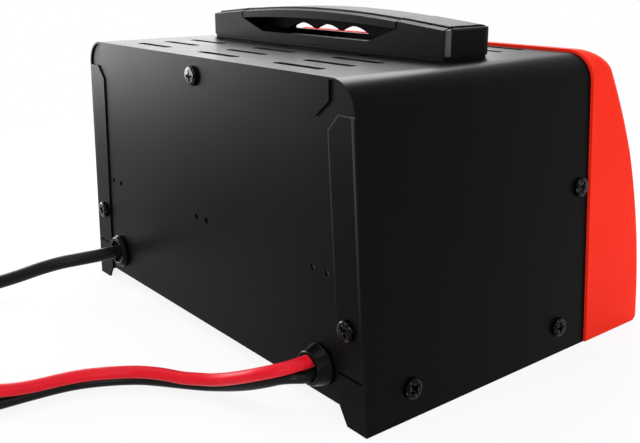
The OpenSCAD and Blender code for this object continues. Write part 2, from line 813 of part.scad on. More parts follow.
module core_bolts() {
    nut_h = 3;
    color("#9a9c9f") bolt_places() {
        translate([0, 0, strap_t]) cylinder(h = 2.8, r = 3.8, $fn = 6);
        translate([0, 0, -sheet_t - nut_h - 0.6]) cylinder(h = sheet_t + nut_h + 0.6 + strap_t + 0.5,
            r = bolt_r);
        translate([0, 0, -sheet_t - nut_h]) difference() {
            cylinder(h = nut_h, r = 3.8, $fn = 6);
            translate([0, 0, -cut]) cylinder(h = nut_h + 2 * cut, r = bolt_r - 0.3);
        }
    }
}

// ---------------------------------------------------------------- rectifier

sink_l = 70;
sink_h = 62;
sink_t = 3;
fin_h = 12;
fin_pitch = 11;
sink_gap = 21.2;
sink_x = sink_gap + 2 * fin_h - half_w(floor_top, chassis_inset + sheet_t);
sink_y = rear_y - 84;
diode_w = 28.6;
diode_t = 10;
diode_z = floor_top + 36;

// Finned aluminium plate on edge, with its foot on the base plate
module heat_sink() {
    color("#b9bcc0") difference() {
        union() {
            translate([sink_x, sink_y - sink_l / 2, floor_top]) cube([sink_t, sink_l, sink_h]);
            translate([sink_x - 2 * fin_h, sink_y - sink_l / 2, floor_top])
                cube([2 * fin_h + sink_t, sink_l, sink_t]);
            for (k = [1:4])
                translate([sink_x - fin_h, sink_y - sink_l / 2, floor_top + k * fin_pitch])
                    cube([fin_h + 1, sink_l, 2]);
        }
        translate([sink_x - cut, sink_y, diode_z]) rotate([0, 90, 0]) cylinder(h = sink_t + 2 * cut, r = 1.9);
    }
}

// Square bridge rectifier with its fixing screw and four blades
blade_w = 6.3;
blade_t = 0.8;
module rectifier() {
    color("#1b1b1e") {
        difference() {
            translate([sink_x + sink_t, sink_y - diode_w / 2, diode_z - diode_w / 2])
                cube([diode_t, diode_w, diode_w]);
            translate([sink_x, sink_y, diode_z]) rotate([0, 90, 0])
                cylinder(h = sink_t + diode_t + cut, r = 2);
        }
        for (side = [-1, 1], end = [-1, 1])
            translate([sink_x + sink_t + diode_t - 0.5, sink_y + side * 9 - blade_w / 2,
                diode_z + end * 9 - blade_t / 2]) cube([9, blade_w, blade_t]);
    }
    color("#9a9c9f") translate([sink_x + sink_t + diode_t, sink_y, diode_z]) rotate([0, 90, 0])
        pan_screw(7.5, 2.4, 1.75, diode_t + sink_t + 0.6);
}

// Three-way mains terminal block on the base plate, its wires entering at the rear and leaving at the front
block_pitch = 8;
block_d = 16;
block_tall = 14;
block_gap = 2.7;
block_x = half_w(floor_top + block_tall, chassis_inset + sheet_t) - block_gap - 1.5 * block_pitch;
block_y = core_y - strap_w / 2 - block_gap - block_d / 2;
wire_z = floor_top + 9.5;
module terminal_block() {
    color("#e6e2d6") difference() {
        translate([block_x - 1.5 * block_pitch, block_y - block_d / 2, floor_top]) union() {
            cube([3 * block_pitch, block_d, 6]);
            for (k = [0:2])
                translate([k * block_pitch + 1, 1, 5]) cube([block_pitch - 2, block_d - 2, block_tall - 5]);
        }
        for (k = [-1:1]) {
            translate([block_x + k * block_pitch, block_y, floor_top + block_tall - 2.5]) cylinder(h = 4,
                r = 2);
            for (side = [-1, 1])
                translate([block_x + k * block_pitch, block_y + side * (block_d / 2 + 1), wire_z])
                    rotate([side * 90, 0, 0]) cylinder(h = 5, r = 1.7);
        }
    }
}

// ---------------------------------------------------------------- controls

body_w = rocker_w + 3.2;
body_l = rocker_l + 4.8;
body_d = 22;
pivot_in = 3;
pivot_r = 1.4;

// Switch housing with its bezel, its cavity and six blades behind
module switch_housing() {
    difference() {
        union() {
            translate([-body_w / 2 - 2, -2, -body_l / 2 - 2]) cube([body_w + 4, 2, body_l + 4]);
            translate([-body_w / 2, -1, -body_l / 2]) cube([body_w, body_d + 1, body_l]);
        }
        translate([-rocker_w / 2 - 0.5, -2 - cut, -rocker_l / 2 - 1.4])
            cube([rocker_w + 1, 11 + cut, rocker_l + 2.8]);
        translate([-body_w, pivot_in, 0]) rotate([0, 90, 0])
            cylinder(h = 2 * body_w, r = pivot_r + 0.05);
    }
    for (column = [-1, 1], row = [-1, 0, 1])
        translate([column * 5 - 0.4, body_d - 0.5, row * 9 - 3]) cube([blade_t, 8.5, 6]);
}

// Rocker with a shallow valley, on two stub pivots, tipped to its rest side
module rocker() {
    end = rocker_l / 2;
    translate([0, pivot_in, 0]) rotate([rocker_swing / 2, 0, 0]) translate([0, -pivot_in, 0]) {
        along_x(rocker_w)
            polygon([[-5.5, -end], [-3, 0], [-5.5, end], [1.5, end], [6, end / 2], [6, -end / 2],
                [1.5, -end]]);
        translate([-rocker_w / 2 - 1.4, pivot_in, 0]) rotate([0, 90, 0])
            cylinder(h = rocker_w + 2.8, r = pivot_r);
    }
}

module mains_switch() { color("#1a1a1c") on_plate(switch_u, switch_v) switch_housing(); }
module mains_rocker() { color("#c6281c") on_plate(switch_u, switch_v) rocker(); }
module voltage_switch() { color("#1a1a1c") on_plate(switch_u + switch_pitch, switch_v) switch_housing(); }
module voltage_rocker() { color("#26262a") on_plate(switch_u + switch_pitch, switch_v) rocker(); }
module rate_switch() { color("#1a1a1c") on_plate(switch_u + 2 * switch_pitch, switch_v) switch_housing(); }
module rate_rocker() { color("#26262a") on_plate(switch_u + 2 * switch_pitch, switch_v) rocker(); }

// Thermal circuit breaker with a threaded neck and its nut
breaker_w = 14;
breaker_h = 21;
breaker_d = 30;
breaker_top = 8;
neck_out = 4;
breaker_nut = 3;
module breaker_body() {
    color("#222226") on_plate(breaker_u, breaker_v) rotate([-90, 0, 0]) difference() {
        union() {
            translate([-breaker_w / 2, breaker_top - breaker_h, fascia_t])
                cube([breaker_w, breaker_h, breaker_d]);
            translate([0, 0, -neck_out]) cylinder(h = neck_out + 1 + fascia_t, r = neck_r);
            translate([0, 0, -breaker_nut]) cylinder(h = breaker_nut, r = neck_r + 2.6, $fn = 6);
            for (side = [-1, 1])
                translate([side * breaker_w / 4 - blade_t / 2, -6,
                    breaker_d + fascia_t - 0.5]) cube([blade_t, 6, 8]);
        }
        translate([0, 0, -neck_out - cut]) cylinder(h = 3 * neck_out + cut, r = reset_d / 2 + 0.08);
    }
}

module reset_button() {
    color("#d8d8d4") on_plate(breaker_u, breaker_v) rotate([-90, 0, 0])
        rotate_extrude() polygon([[0, -neck_out - reset_travel],
            [reset_d / 2 - 0.8, -neck_out - reset_travel], [reset_d / 2, 0.8 - neck_out - reset_travel],
            [reset_d / 2, 2 * neck_out - 0.2 - reset_travel], [0, 2 * neck_out - 0.2 - reset_travel]]);
}

// Ammeter: an open-fronted case with a bezel, a dial, a movement, a needle and a window
pivot_v = -15;
dial_y = 4.5;
dial_t = 0.8;
meter_bezel = 5;
meter_glass = 2.4;
meter_lift = 4;
meter_open_w = meter_w - 14;
meter_open_h = meter_h - 18;
module ammeter_case() {
    color("#161618") on_plate(meter_u, meter_v) difference() {
        union() {
            translate([-meter_w / 2, -meter_bezel, -meter_h / 2]) cube([meter_w, meter_bezel, meter_h]);
            translate([-meter_body / 2, -1, -meter_body / 2]) cube([meter_body, meter_d + 1, meter_body]);
            for (side = [-1, 1])
                translate([side * 14, meter_d - 0.5, 0]) rotate([-90, 0, 0]) cylinder(h = 8.5, r = 2);
        }
        translate([-meter_open_w / 2, -meter_bezel - cut, -meter_open_h / 2 + meter_lift])
            cube([meter_open_w, meter_bezel - 2 + cut, meter_open_h]);
        translate([-meter_body / 2 + 1.5, -2.1, -meter_body / 2 + 1.5])
            cube([meter_body - 3, meter_d, meter_body - 3]);
    }
}

module ammeter_window() {
    color([0.8, 0.85, 0.88, 0.35]) on_plate(meter_u, meter_v)
        translate([-meter_open_w / 2 + 0.1, -2 - meter_glass, -meter_open_h / 2 + meter_lift + 0.1])
            cube([meter_open_w - 0.2, meter_glass, meter_open_h - 0.2]);
}

module ammeter_dial() {
    color("#f2efe6") on_plate(meter_u, meter_v) difference() {
        translate([-meter_body / 2 + 1.6, dial_y, -meter_body / 2 + 1.6])
            cube([meter_body - 3.2, dial_t, meter_body - 3.2]);
        translate([0, 0, pivot_v]) rotate([-90, 0, 0]) cylinder(h = 10, r = 1.2);
    }
}

spindle_r = 0.8;
module ammeter_movement() {
    color("#77797d") on_plate(meter_u, meter_v) {
        translate([-12, dial_y + dial_t, pivot_v - 5]) cube([24, meter_d - 2.1 - dial_y - dial_t, 20]);
        translate([0, 0.4, pivot_v]) rotate([-90, 0, 0]) cylinder(h = 6, r = spindle_r);
    }
}

// Needle pointing at zero, left of the dial
module ammeter_needle() {
    color("#c22a1c") on_plate(meter_u, meter_v) translate([0, 2, pivot_v])
        rotate([0, -needle_sweep / 2, 0]) difference() {
        union() {
            rotate([-90, 0, 0]) cylinder(h = 1.6, r = 2.2);
            translate([0, 0.4, 0]) along_y(0.7, 0.7)
                polygon([[-0.8, 0], [-0.3, needle_l], [0.3, needle_l], [0.8, 0], [1.2, -5], [-1.2, -5]]);
        }
        translate([0, -cut, 0]) rotate([-90, 0, 0]) cylinder(h = 4, r = spindle_r + 0.05);
    }
}

// Pilot lamp with a domed lens in front of the plate
module lamp() {
    r = lamp_d / 2;
    rotate([-90, 0, 0]) rotate_extrude()
        polygon(concat([[0, 14], [r - 1, 14], [r - 1, 0], [r, 0], [r, -1]],
            [for (a = [15:15:90]) [r * cos(a), -1 - 3 * sin(a)]]));
}

module mains_lamp() { color("#d83020") on_plate(lamp_u, lamp_v) lamp(); }
module charge_lamp() { color("#38b048") on_plate(lamp_u, lamp_v - lamp_pitch) lamp(); }

// ---------------------------------------------------------------- tubes

function unit(v) = v / norm(v);
function along(path, i) = unit(path[min(i + 1, len(path) - 1)] - path[max(i - 1, 0)]);

// A round tube swept along a path: a ring of sides at each point, square to the path
module tube(path, d, sides, up = [0, 0, 1]) {
    n = len(path);
    points = [for (i = [0:n - 1]) let (t = along(path, i), across = unit(cross(t, up)),
        rise = cross(across, t))
        for (j = [0:sides - 1]) let (a = 360 * j / sides) path[i] + d / 2 * (cos(a) * across + sin(a)
            * rise)];
    walls = [for (i = [0:n - 2], j = [0:sides - 1]) let (k = (j + 1) % sides)
        each [[i * sides + j, i * sides + k, (i + 1) * sides + k],
            [i * sides + j, (i + 1) * sides + k, (i + 1) * sides + j]]];
    ends = [[for (j = [sides - 1:-1:0]) j], [for (j = [0:sides - 1]) (n - 1) * sides + j]];
    polyhedron(points, concat(walls, ends));
}

// ---------------------------------------------------------------- wiring inside

wire_d = 2.4;
heavy_d = 3.6;
mains_face = rear_y + bushing_out;
lead_face = rear_y + lead_bushing_out;
sheath_y = rear_y - bushing_in - 8;

// The place of a point on the control plate: right, behind its outer face, and up it
function plate_point(u, y, v) = [u, fascia_y + y * cos(fascia_lean) + v * sin(fascia_lean),
    window_z - y * sin(fascia_lean) + v * cos(fascia_lean)];

module wire(path, d, shade, up = [0.3, 0.2, 1]) {
    color(shade) tube(path, d, 8, up);
}

blade_end = body_d + 8;

// The mains lead's inner end, its three wires, and the wires on to the breaker, the switch and
// the transformer
live_shade = "#7a4a26";
neutral_shade = "#2858b8";
breaker_tab = breaker_d + fascia_t + 7.5;
module mains_wiring() {
    color("#0f0f10") on_rear(entry_x, entry_z, sheath_y) cylinder(h = mains_face - sheath_y, d = mains_d);
    rear = block_y + block_d / 2 - 4;
    for (k = [-1:1]) {
        x = block_x + k * block_pitch;
        start = entry_x + 2.6 * k;
        wire([[start, sheath_y, entry_z], [start, sheath_y - 3, entry_z],
            [start + 2.4 * k + 2, sheath_y - 12, entry_z - 0.5], [x, rear + 16, wire_z + 1],
            [x, rear + 8, wire_z], [x, rear, wire_z]],
            wire_d, k == 0 ? "#3c9a3c" : k < 0 ? neutral_shade : live_shade);
    }
    front = block_y - block_d / 2 + 4;
    live = block_x + block_pitch;
    neutral = block_x - block_pitch;
    // Live wire to the breaker
    wire([[live, front, wire_z], [live, front - 10, wire_z], [live - 6, front - 20, wire_z],
        [live - 22, front - 37, wire_z + 2], plate_point(breaker_u + 10, breaker_tab + 18.5, breaker_v),
        plate_point(breaker_u + 3.5, breaker_tab + 6.5, breaker_v + 3),
        plate_point(breaker_u + 3.5, breaker_tab, breaker_v + 3)], wire_d, live_shade);
    // Wire from the breaker to the mains switch
    wire([plate_point(breaker_u - 3.5, breaker_tab, breaker_v + 3),
        plate_point(breaker_u - 3.5, breaker_tab + 6.5, breaker_v + 3),
        plate_point(switch_u + 17, blade_end + 12, switch_v - 16),
        plate_point(switch_u + 5, blade_end + 6, switch_v - 9),
        plate_point(switch_u + 5, blade_end, switch_v - 9)], wire_d, live_shade);
    // Neutral wire to the transformer
    wire([[neutral, front, wire_z], [neutral, front - 10, wire_z], [neutral - 8, front - 21, wire_z + 3],
        [core_x + 42, core_y - 53, low_tag_z - 3],
        [core_x + 22, core_y - 56, low_tag_z], [core_x + tag_pitch, tag_y - 9, low_tag_z],
        [core_x + tag_pitch, tag_y, low_tag_z]], wire_d, neutral_shade);
    // Wire from the mains switch to the transformer
    wire([plate_point(switch_u - 5, blade_end, switch_v - 9),
        plate_point(switch_u - 5, blade_end + 6, switch_v - 9),
        plate_point(switch_u - 5, blade_end + 14, switch_v - 26), [core_x - 20, core_y - 66, low_tag_z + 6],
        [core_x - tag_pitch, tag_y - 11, low_tag_z], [core_x - tag_pitch, tag_y, low_tag_z]],
        wire_d, live_shade);
    // Wires from the voltage and rate switches to the transformer's taps
    for (k = [0, 1]) {
        u = switch_u + switch_pitch + k * switch_pitch - 5;
        x = core_x + (2 * k - 1) * tag_pitch;
        wire([plate_point(u, blade_end, switch_v + 9), plate_point(u, blade_end + 8, switch_v + 9),
            [(u + x) / 2, core_y - 64, high_tag_z + 6], [x, tag_y - 10, high_tag_z], [x, tag_y, high_tag_z]],
            wire_d, "#c8c8c4");
    }
}

// The charging leads' inner ends, and the heavy wires between the secondary winding, the rectifier
// and the ammeter
stud = 14;
tab_reach = 8.5;
coil_front = core_y - former_d / 2 - 2 * winding_t;
module charging_wiring() {
    for (k = [-1, 1])
        color(k > 0 ? "#d02018" : "#101012") on_rear(-entry_x, entry_z + k * pair_gap, sheath_y)
            cylinder(h = lead_face - sheath_y, d = lead_d);
    tab_x = sink_x + sink_t + diode_t + tab_reach;
    // Black lead to the rectifier
    wire([[-entry_x, sheath_y, entry_z - pair_gap], [-entry_x, sheath_y - 4, entry_z - pair_gap],
        [-92, sheath_y - 12, 22], [tab_x - 13.5, sink_y + 42, 30], [tab_x + 4.5, sink_y + 28, 36],
        [tab_x + 6, sink_y + 9, diode_z - 9], [tab_x, sink_y + 9, diode_z - 9]], heavy_d, "#141416");
    // Red lead to the ammeter
    wire([[-entry_x, sheath_y, entry_z + pair_gap], [-entry_x, sheath_y - 4, entry_z + pair_gap],
        [-94, sheath_y - 12, 40], [-84, core_y + 16, 78], [-80, core_y - 14, 84], [-74, core_y - 44, 84],
        plate_point(meter_u - stud, meter_d + 22, meter_v),
        plate_point(meter_u - stud, meter_d + 8, meter_v)],
        heavy_d, "#d02018");
    // Rectifier to the ammeter
    wire([[tab_x, sink_y - 9, diode_z + 9], [tab_x + 6, sink_y - 9, diode_z + 9],
        [tab_x + 12, sink_y - 20, 66],
        plate_point(meter_u + stud, meter_d + 24, meter_v),
        plate_point(meter_u + stud, meter_d + 8, meter_v)],
        heavy_d, "#d02018");
    // Secondary winding to the rectifier's two other blades
    for (k = [-1, 1]) {
        x = core_x - 8 - 4 * k;
        z = core_mid_z + 8 * k;
        wire([[x, coil_front + 0.4, z], [x, coil_front - 6, z], [core_x - 30, core_y - 50 - 3 * k, z],
            [-38, core_y - 38 - 3 * k, z], [tab_x + 12, sink_y - 9 * k, diode_z - 9 * k],
            [tab_x, sink_y - 9 * k, diode_z - 9 * k]],
            heavy_d, "#c4763c");
    }
}

// ---------------------------------------------------------------- cords

cord_lift = 0.6;
turn_rings = 24;

// Points of a piled coil: in by a steady spiral, up a layer where it turns, and out again.
// It starts and ends at its left side, heading +Y, with a straight run at each end.
function coil_radius(t, turns, r, pitch) = t < turns / 2 ? r - pitch * t : r - pitch * (turns - t);
function coil_height(t, turns, z, layer) = z + layer * min(1, max(0, (t - turns / 2 + 0.25) / 0.5));
function coil_path(centre, r, turns, pitch, z, layer, run) = concat(
    [[centre[0] - r, centre[1] - run, z]],
    [for (i = [0:turns * turn_rings]) let (t = i / turn_rings, a = 180 - 360 * t, rt = coil_radius(t,
        turns, r, pitch))
        [centre[0] + rt * cos(a), centre[1] + rt * sin(a), coil_height(t, turns, z, layer)]],
    [[centre[0] - r, centre[1] + run, z + layer]]);

// Least gap between parts of a coil that are not neighbours along it
function self_gap(path, d) = min([for (i = [0:len(path) - 1], j = [i + turn_rings * 3 / 4:len(path) - 1])
    norm(path[i] - path[j])]) - d;

mains_turns = 6;
mains_centre = [206, rear_y + 128];
mains_coil_r = 56;
mains_pitch = mains_d + 0.7;
mains_z = mains_d / 2 + cord_lift;
mains_loops = coil_path(mains_centre, mains_coil_r, mains_turns, mains_pitch, mains_z, mains_pitch, mains_d);

lead_turns = 5;
lead_centre = [31, rear_y + 152];
lead_coil_r = 40;
lead_pitch = lead_d + 0.6;
lead_z = lead_d / 2 + cord_lift;
black_loops = coil_path(lead_centre, lead_coil_r, lead_turns, lead_pitch, lead_z, lead_pitch, lead_d);
red_loops = coil_path(lead_centre, lead_coil_r, lead_turns, lead_pitch, lead_z + 2 * lead_pitch,
    lead_pitch, lead_d);
echo(mains_coil_gap = self_gap(mains_loops, mains_d), black_coil_gap = self_gap(black_loops, lead_d),
    red_coil_gap = self_gap(red_loops, lead_d));

// Routes of the free stretches, each point measured from the rear face. They start straight and
// just clear of the piece before them.
end_gap = 0.3;
low_z = entry_z - pair_gap;
high_z = entry_z + pair_gap;
mains_exit = bushing_out + end_gap;
lead_exit = lead_bushing_out + end_gap;
function behind(route) = [for (p = route) [p[0], rear_y + p[1], p[2]]];
mains_route = behind([[entry_x, mains_exit, entry_z], [entry_x, mains_exit + 1.5, entry_z],
    [101, 12, 22.2], [104, 25, 21.5], [109, 35.5, 20], [115, 46, 17], [121.5, 57, 13], [128, 67, 9.5],
    [135, 77, 6.5], [141, 87, 5], [145.6, 96.5, 4.6], [148.6, 105, 4.6], [150, 112, 4.6],
    [150, 120, 4.6]]);
mains_tail_route = behind([[150, 136 + end_gap, 13.3], [150, 138.5, 13.3], [150, 147, 12.5],
    [150, 160, 9.5], [152, 176, 10], [160, 191, 13], [173, 202, 17], [184, 206, 19], [194, 206, 19]]);
black_route = behind([[-entry_x, lead_exit, low_z], [-entry_x, lead_exit + 1.2, low_z],
    [-98.2, 12.6, 18.8], [-93.3, 16.2, 17.7], [-86.7, 19.9, 15], [-78, 22.8, 11.3], [-68.6, 25.4, 7.7],
    [-59.6, 28.6, 5], [-52.2, 32.9, 3.7], [-42.9, 40.5, 3.6], [-35, 46.9, 3.6], [-29.2, 52.3, 3.6],
    [-24.5, 58.3, 3.6], [-20.5, 64.7, 3.6], [-17.1, 71.2, 3.6], [-14.4, 78, 3.6], [-12.6, 85.1, 3.6],
    [-11.2, 96, 3.6], [-10.2, 109, 3.6], [-9.4, 122, 3.6], [-9, 135, 3.6], [-9, 146 - end_gap, 3.6]]);
red_route = behind([[-entry_x, lead_exit, high_z], [-entry_x, lead_exit + 1.2, high_z],
    [-99.5, 12, 25.8], [-98.3, 15.3, 25.2], [-95.9, 18.4, 24.2], [-91.9, 21.4, 22.4],
    [-86.7, 24.2, 20.1], [-80.6, 26.5, 17.3], [-73.9, 28.7, 14.4], [-67.2, 30.9, 11.8],
    [-61.2, 33.3, 9.9], [-55.5, 36.2, 8.9], [-48.9, 41.2, 8.5], [-41.9, 46.1, 8.9], [-35.6, 51, 9],
    [-30.1, 56.6, 9], [-25.9, 62.7, 9], [-22.1, 69.1, 9], [-18.9, 75.7, 9], [-16.8, 82.5, 9],
    [-15.4, 90, 9], [-14.6, 99, 9.3], [-13.6, 108, 10.2], [-12, 117, 11.9], [-10.6, 126, 14.2],
    [-9.4, 135, 16.3], [-9, 141, 16.8],
    [-9, 146 - end_gap, 16.8]]);
black_tail_route = behind([[-9, 158 + end_gap, 10.2], [-9, 160, 10.2], [-9.5, 168, 9], [-14, 181, 5],
    [-23, 191, 3.6], [-31, 197, 5.5], [-40, 200, 8.3], [-48, 200, 8.3]]);
red_tail_route = behind([[-9, 158 + end_gap, 23.4], [-9, 160.5, 23.4], [-9, 169, 21], [-4, 184, 14],
    [6, 196, 7], [20, 203, 3.8], [36, 205.5, 4.5], [52, 206, 8.3], [62, 206, 8.3]]);

module mains_lead() { color("#121213") tube(mains_route, mains_d, 10); }
module mains_coil() { color("#121213") tube(mains_loops, mains_d, 6); }
module mains_tail() { color("#121213") tube(mains_tail_route, mains_d, 10); }
module red_lead() { color("#e0182a") tube(red_route, lead_d, 10); }
module red_coil() { color("#e0182a") tube(red_loops, lead_d, 6); }
module red_tail() { color("#e0182a") tube(red_tail_route, lead_d, 10); }
module black_lead() { color("#121213") tube(black_route, lead_d, 10); }
module black_coil() { color("#121213") tube(black_loops, lead_d, 6); }
module black_tail() { color("#121213") tube(black_tail_route, lead_d, 10); }

// Flat ties, one round each bundle of turns on the side away from its ends
tie_t = 0.5;
tie_w = 8;
tie_gap = 0.2;
tie_slack = 0.7;
module tie(centre, r, turns, pitch, d, layers) {
    outer = r - pitch / 2 + d / 2;
    inner = r - pitch * (floor(turns / 2 - 0.5) + 0.5) - d / 2 - tie_slack;
    tall = d + (layers - 1) * pitch;
    translate([centre[0], centre[1], cord_lift]) along_y(tie_w / 2, tie_w) difference() {
        translate([inner - tie_t, -tie_t]) square([outer - inner + tie_gap + 2 * tie_t, tall + 2 * tie_t]);
        translate([inner, 0]) square([outer - inner + tie_gap, tall]);
    }
}

module coil_ties() {
    color("#2c2c30") {
        tie(mains_centre, mains_coil_r, mains_turns, mains_pitch, mains_d, 2);
        tie(lead_centre, lead_coil_r, lead_turns, lead_pitch, lead_d, 4);
    }
}

// ---------------------------------------------------------------- plug

plug_at = mains_tail_route[len(mains_tail_route) - 1];

// A child set on the plug's axis, its Z pointing along the pins
module on_plug() {
    translate(plug_at) rotate([0, 90, 0]) children();
}

module plug_body() {
    r = plug_d / 2;
    face = plug_relief_l + plug_l;
    color("#151517") on_plug() difference() {
        union() {
            rotate_extrude() polygon([[0, 0], [mains_d / 2 + 1.2, 0], [mains_d / 2 + 3.5, plug_relief_l],
                [r * 0.62, plug_relief_l + 2], [r * 0.84, plug_relief_l + 7],
                [r * 0.84, plug_relief_l + 17], [r, plug_relief_l + 20], [r, face - 1], [r - 1, face],
                [0, face]]);
        }
        for (side = [-1, 1]) {
            translate([0, side * plug_pin_pitch / 2, face - 12]) cylinder(h = 12 + cut, d = plug_pin_d - 0.7);
            translate([side * (r + 2), -5.5, face - 15]) translate([-4, 0, 0]) cube([8, 11, 15 + cut]);
        }
        translate([10.2, 0, face - 16]) cylinder(h = 16 + cut, d = 5);
    }
}

module plug_pins() {
    face = plug_relief_l + plug_l;
    color("#c9cbce") on_plug() for (side = [-1, 1])
        translate([0, side * plug_pin_pitch / 2, face]) {
            translate([0, 0, -12]) cylinder(h = 12 + cut, d = plug_pin_d - 0.8);
            cylinder(h = plug_pin_l - 2, d = plug_pin_d);
            translate([0, 0, plug_pin_l - 2]) cylinder(h = 2, d1 = plug_pin_d, d2 = plug_pin_d - 1.6);
        }
}

// ---------------------------------------------------------------- battery clamps

clamp_z = clamp_w / 2 + 0.3;
entry_u = -arm_l + 10;
entry_v = -13;
ear_r = 5;
ear_t = 2;
inner_w = clamp_w - 2 * ear_t - 0.6;
jaw_back = 14;

// A clamp's frame: its pivot, with its jaws along +X before it is turned
module red_place() {
    at = red_tail_route[len(red_tail_route) - 1];
    translate([at[0] - entry_u, at[1] - entry_v, clamp_z]) children();
}

module black_place() {
    at = black_tail_route[len(black_tail_route) - 1];
    translate([at[0] + entry_u, at[1] + entry_v, clamp_z]) rotate([0, 0, 180]) children();
}

// Outline of one arm on the far side of the pivot, its teeth shifted by half a pitch if wanted
module arm_outline(shift) {
    teeth = floor((jaw_l - jaw_back) / tooth_pitch);
    polygon(concat([[-arm_l, 22], [-arm_l / 2, 17], [-8, 10.5], [12, 9.5], [jaw_l * 0.75, 8.5],
        [jaw_l, 2.5], [jaw_l, 1.6]],
        [for (k = [teeth - 1:-1:0]) each [[jaw_back + (k + 0.75 - shift) * tooth_pitch, 0.25],
            [jaw_back + (k + 0.25 - shift) * tooth_pitch, 1.6]]],
        [[jaw_back - 5, 4.5], [-8, 5.8], [-arm_l / 2, 12], [-arm_l, 17.5]]));
}

module ears(gap) {
    for (side = [-1, 1])
        translate([0, 0, side * (gap / 2 + ear_t / 2) - ear_t / 2]) linear_extrude(ear_t) {
            circle(r = ear_r);
            translate([-ear_r, 0]) square([2 * ear_r, 6.6]);
        }
}

// Arm that holds the lead, with its ears inside those of the jaw arm
module clamp_arm() {
    ferrule_d = lead_d + 2;
    difference() {
        union() {
            mirror([0, 1, 0]) {
                translate([0, 0, -inner_w / 2]) linear_extrude(inner_w) arm_outline(0);
                ears(inner_w - 2 * ear_t);
            }
            translate([entry_u, entry_v, 0]) rotate([0, 90, 0]) cylinder(h = 12, d = ferrule_d);
        }
        translate([0, 0, -clamp_w]) cylinder(h = 2 * clamp_w, r = clamp_pin_d / 2 + 0.05);
    }
}

// Arm that opens, with the wider ears
module clamp_jaw() {
    difference() {
        union() {
            translate([0, 0, -clamp_w / 2]) linear_extrude(clamp_w) arm_outline(0.5);
            ears(clamp_w - 2 * ear_t);
        }
        translate([0, 0, -clamp_w]) cylinder(h = 2 * clamp_w, r = clamp_pin_d / 2 + 0.05);
    }
}

// Spring wound round the pin, with one leg along the fixed arm
spring_wire = 1.2;
spring_r = clamp_pin_d / 2 + 0.2 + spring_wire / 2;
spring_turns = 3.5;
spring_pitch = spring_wire + 0.5;
spring_path = concat([[-16, -7.5, -spring_turns * spring_pitch / 2],
    [-9, -spring_r * 1.02, -spring_turns * spring_pitch / 2]],
    [for (i = [0:spring_turns * 8]) let (a = -90 + 45 * i)
        [spring_r * cos(a), spring_r * sin(a), spring_pitch * (i / 8 - spring_turns / 2)]],
    [[-4, spring_r, spring_turns * spring_pitch / 2]]);

module red_clamp_arm() { color("#d8202a") red_place() clamp_arm(); }
module red_clamp_jaw() { color("#d8202a") red_place() clamp_jaw(); }
module red_clamp_spring() { color("#b8babd") red_place() tube(spring_path, spring_wire, 6, [0.02, 0.03, 1]); }
module black_clamp_arm() { color("#1a1a1c") black_place() clamp_arm(); }
module black_clamp_jaw() { color("#1a1a1c") black_place() clamp_jaw(); }
module black_clamp_spring() { color("#b8babd") black_place() tube(spring_path, spring_wire, 6, [0.02, 0.03,
    1]); }

module clamp_pin() {
    translate([0, 0, -clamp_w / 2 - 0.2]) cylinder(h = clamp_w + 0.4, d = clamp_pin_d);
}

module clamp_pins() {
    color("#b8babd") {
        red_place() clamp_pin();
        black_place() clamp_pin();
    }
}

// ---------------------------------------------------------------- drawing

cover();
chassis();
front_moulding();
control_plate();
handle_base();
handle_grip();
grip_pad();
grip_stops();
handle_screws();
rear_screws();
side_screws();
plate_screws();
mains_bushing();
lead_bushing();
transformer_core();
bobbin();
primary_winding();
secondary_winding();
core_strap();
core_bolts();
terminal_block();
heat_sink();
rectifier();
breaker_body();
reset_button();
ammeter_case();
ammeter_movement();
ammeter_dial();
ammeter_needle();
ammeter_window();
mains_switch();
mains_rocker();
voltage_switch();
voltage_rocker();
rate_switch();
rate_rocker();
mains_lamp();
charge_lamp();
mains_wiring();
charging_wiring();
mains_lead();
mains_coil();
mains_tail();
plug_body();
plug_pins();
red_lead();
red_coil();
red_tail();
black_lead();
black_coil();
black_tail();
coil_ties();
red_clamp_arm();
red_clamp_jaw();
red_clamp_spring();
black_clamp_arm();
black_clamp_jaw();
black_clamp_spring();
clamp_pins();
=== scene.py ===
import math

import bmesh
import bpy
from mathutils import Matrix, Vector


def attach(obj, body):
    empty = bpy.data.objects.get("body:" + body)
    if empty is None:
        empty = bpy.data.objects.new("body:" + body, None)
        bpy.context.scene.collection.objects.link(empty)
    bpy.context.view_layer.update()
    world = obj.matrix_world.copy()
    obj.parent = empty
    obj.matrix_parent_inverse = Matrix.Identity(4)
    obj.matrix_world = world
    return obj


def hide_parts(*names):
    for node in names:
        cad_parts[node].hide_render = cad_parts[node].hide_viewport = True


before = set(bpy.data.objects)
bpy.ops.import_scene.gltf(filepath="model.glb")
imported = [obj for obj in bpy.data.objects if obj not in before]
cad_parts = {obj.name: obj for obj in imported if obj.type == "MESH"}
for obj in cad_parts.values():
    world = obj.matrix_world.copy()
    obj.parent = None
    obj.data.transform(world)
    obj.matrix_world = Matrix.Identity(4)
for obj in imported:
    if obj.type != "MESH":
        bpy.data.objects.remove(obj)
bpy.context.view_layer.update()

# ---------------------------------------------------------------- chassis
# The inner half of the case: rear panel, base plate and two turned-up sides,
# folded from one sheet of steel, powder coated black. The cover screws to it.


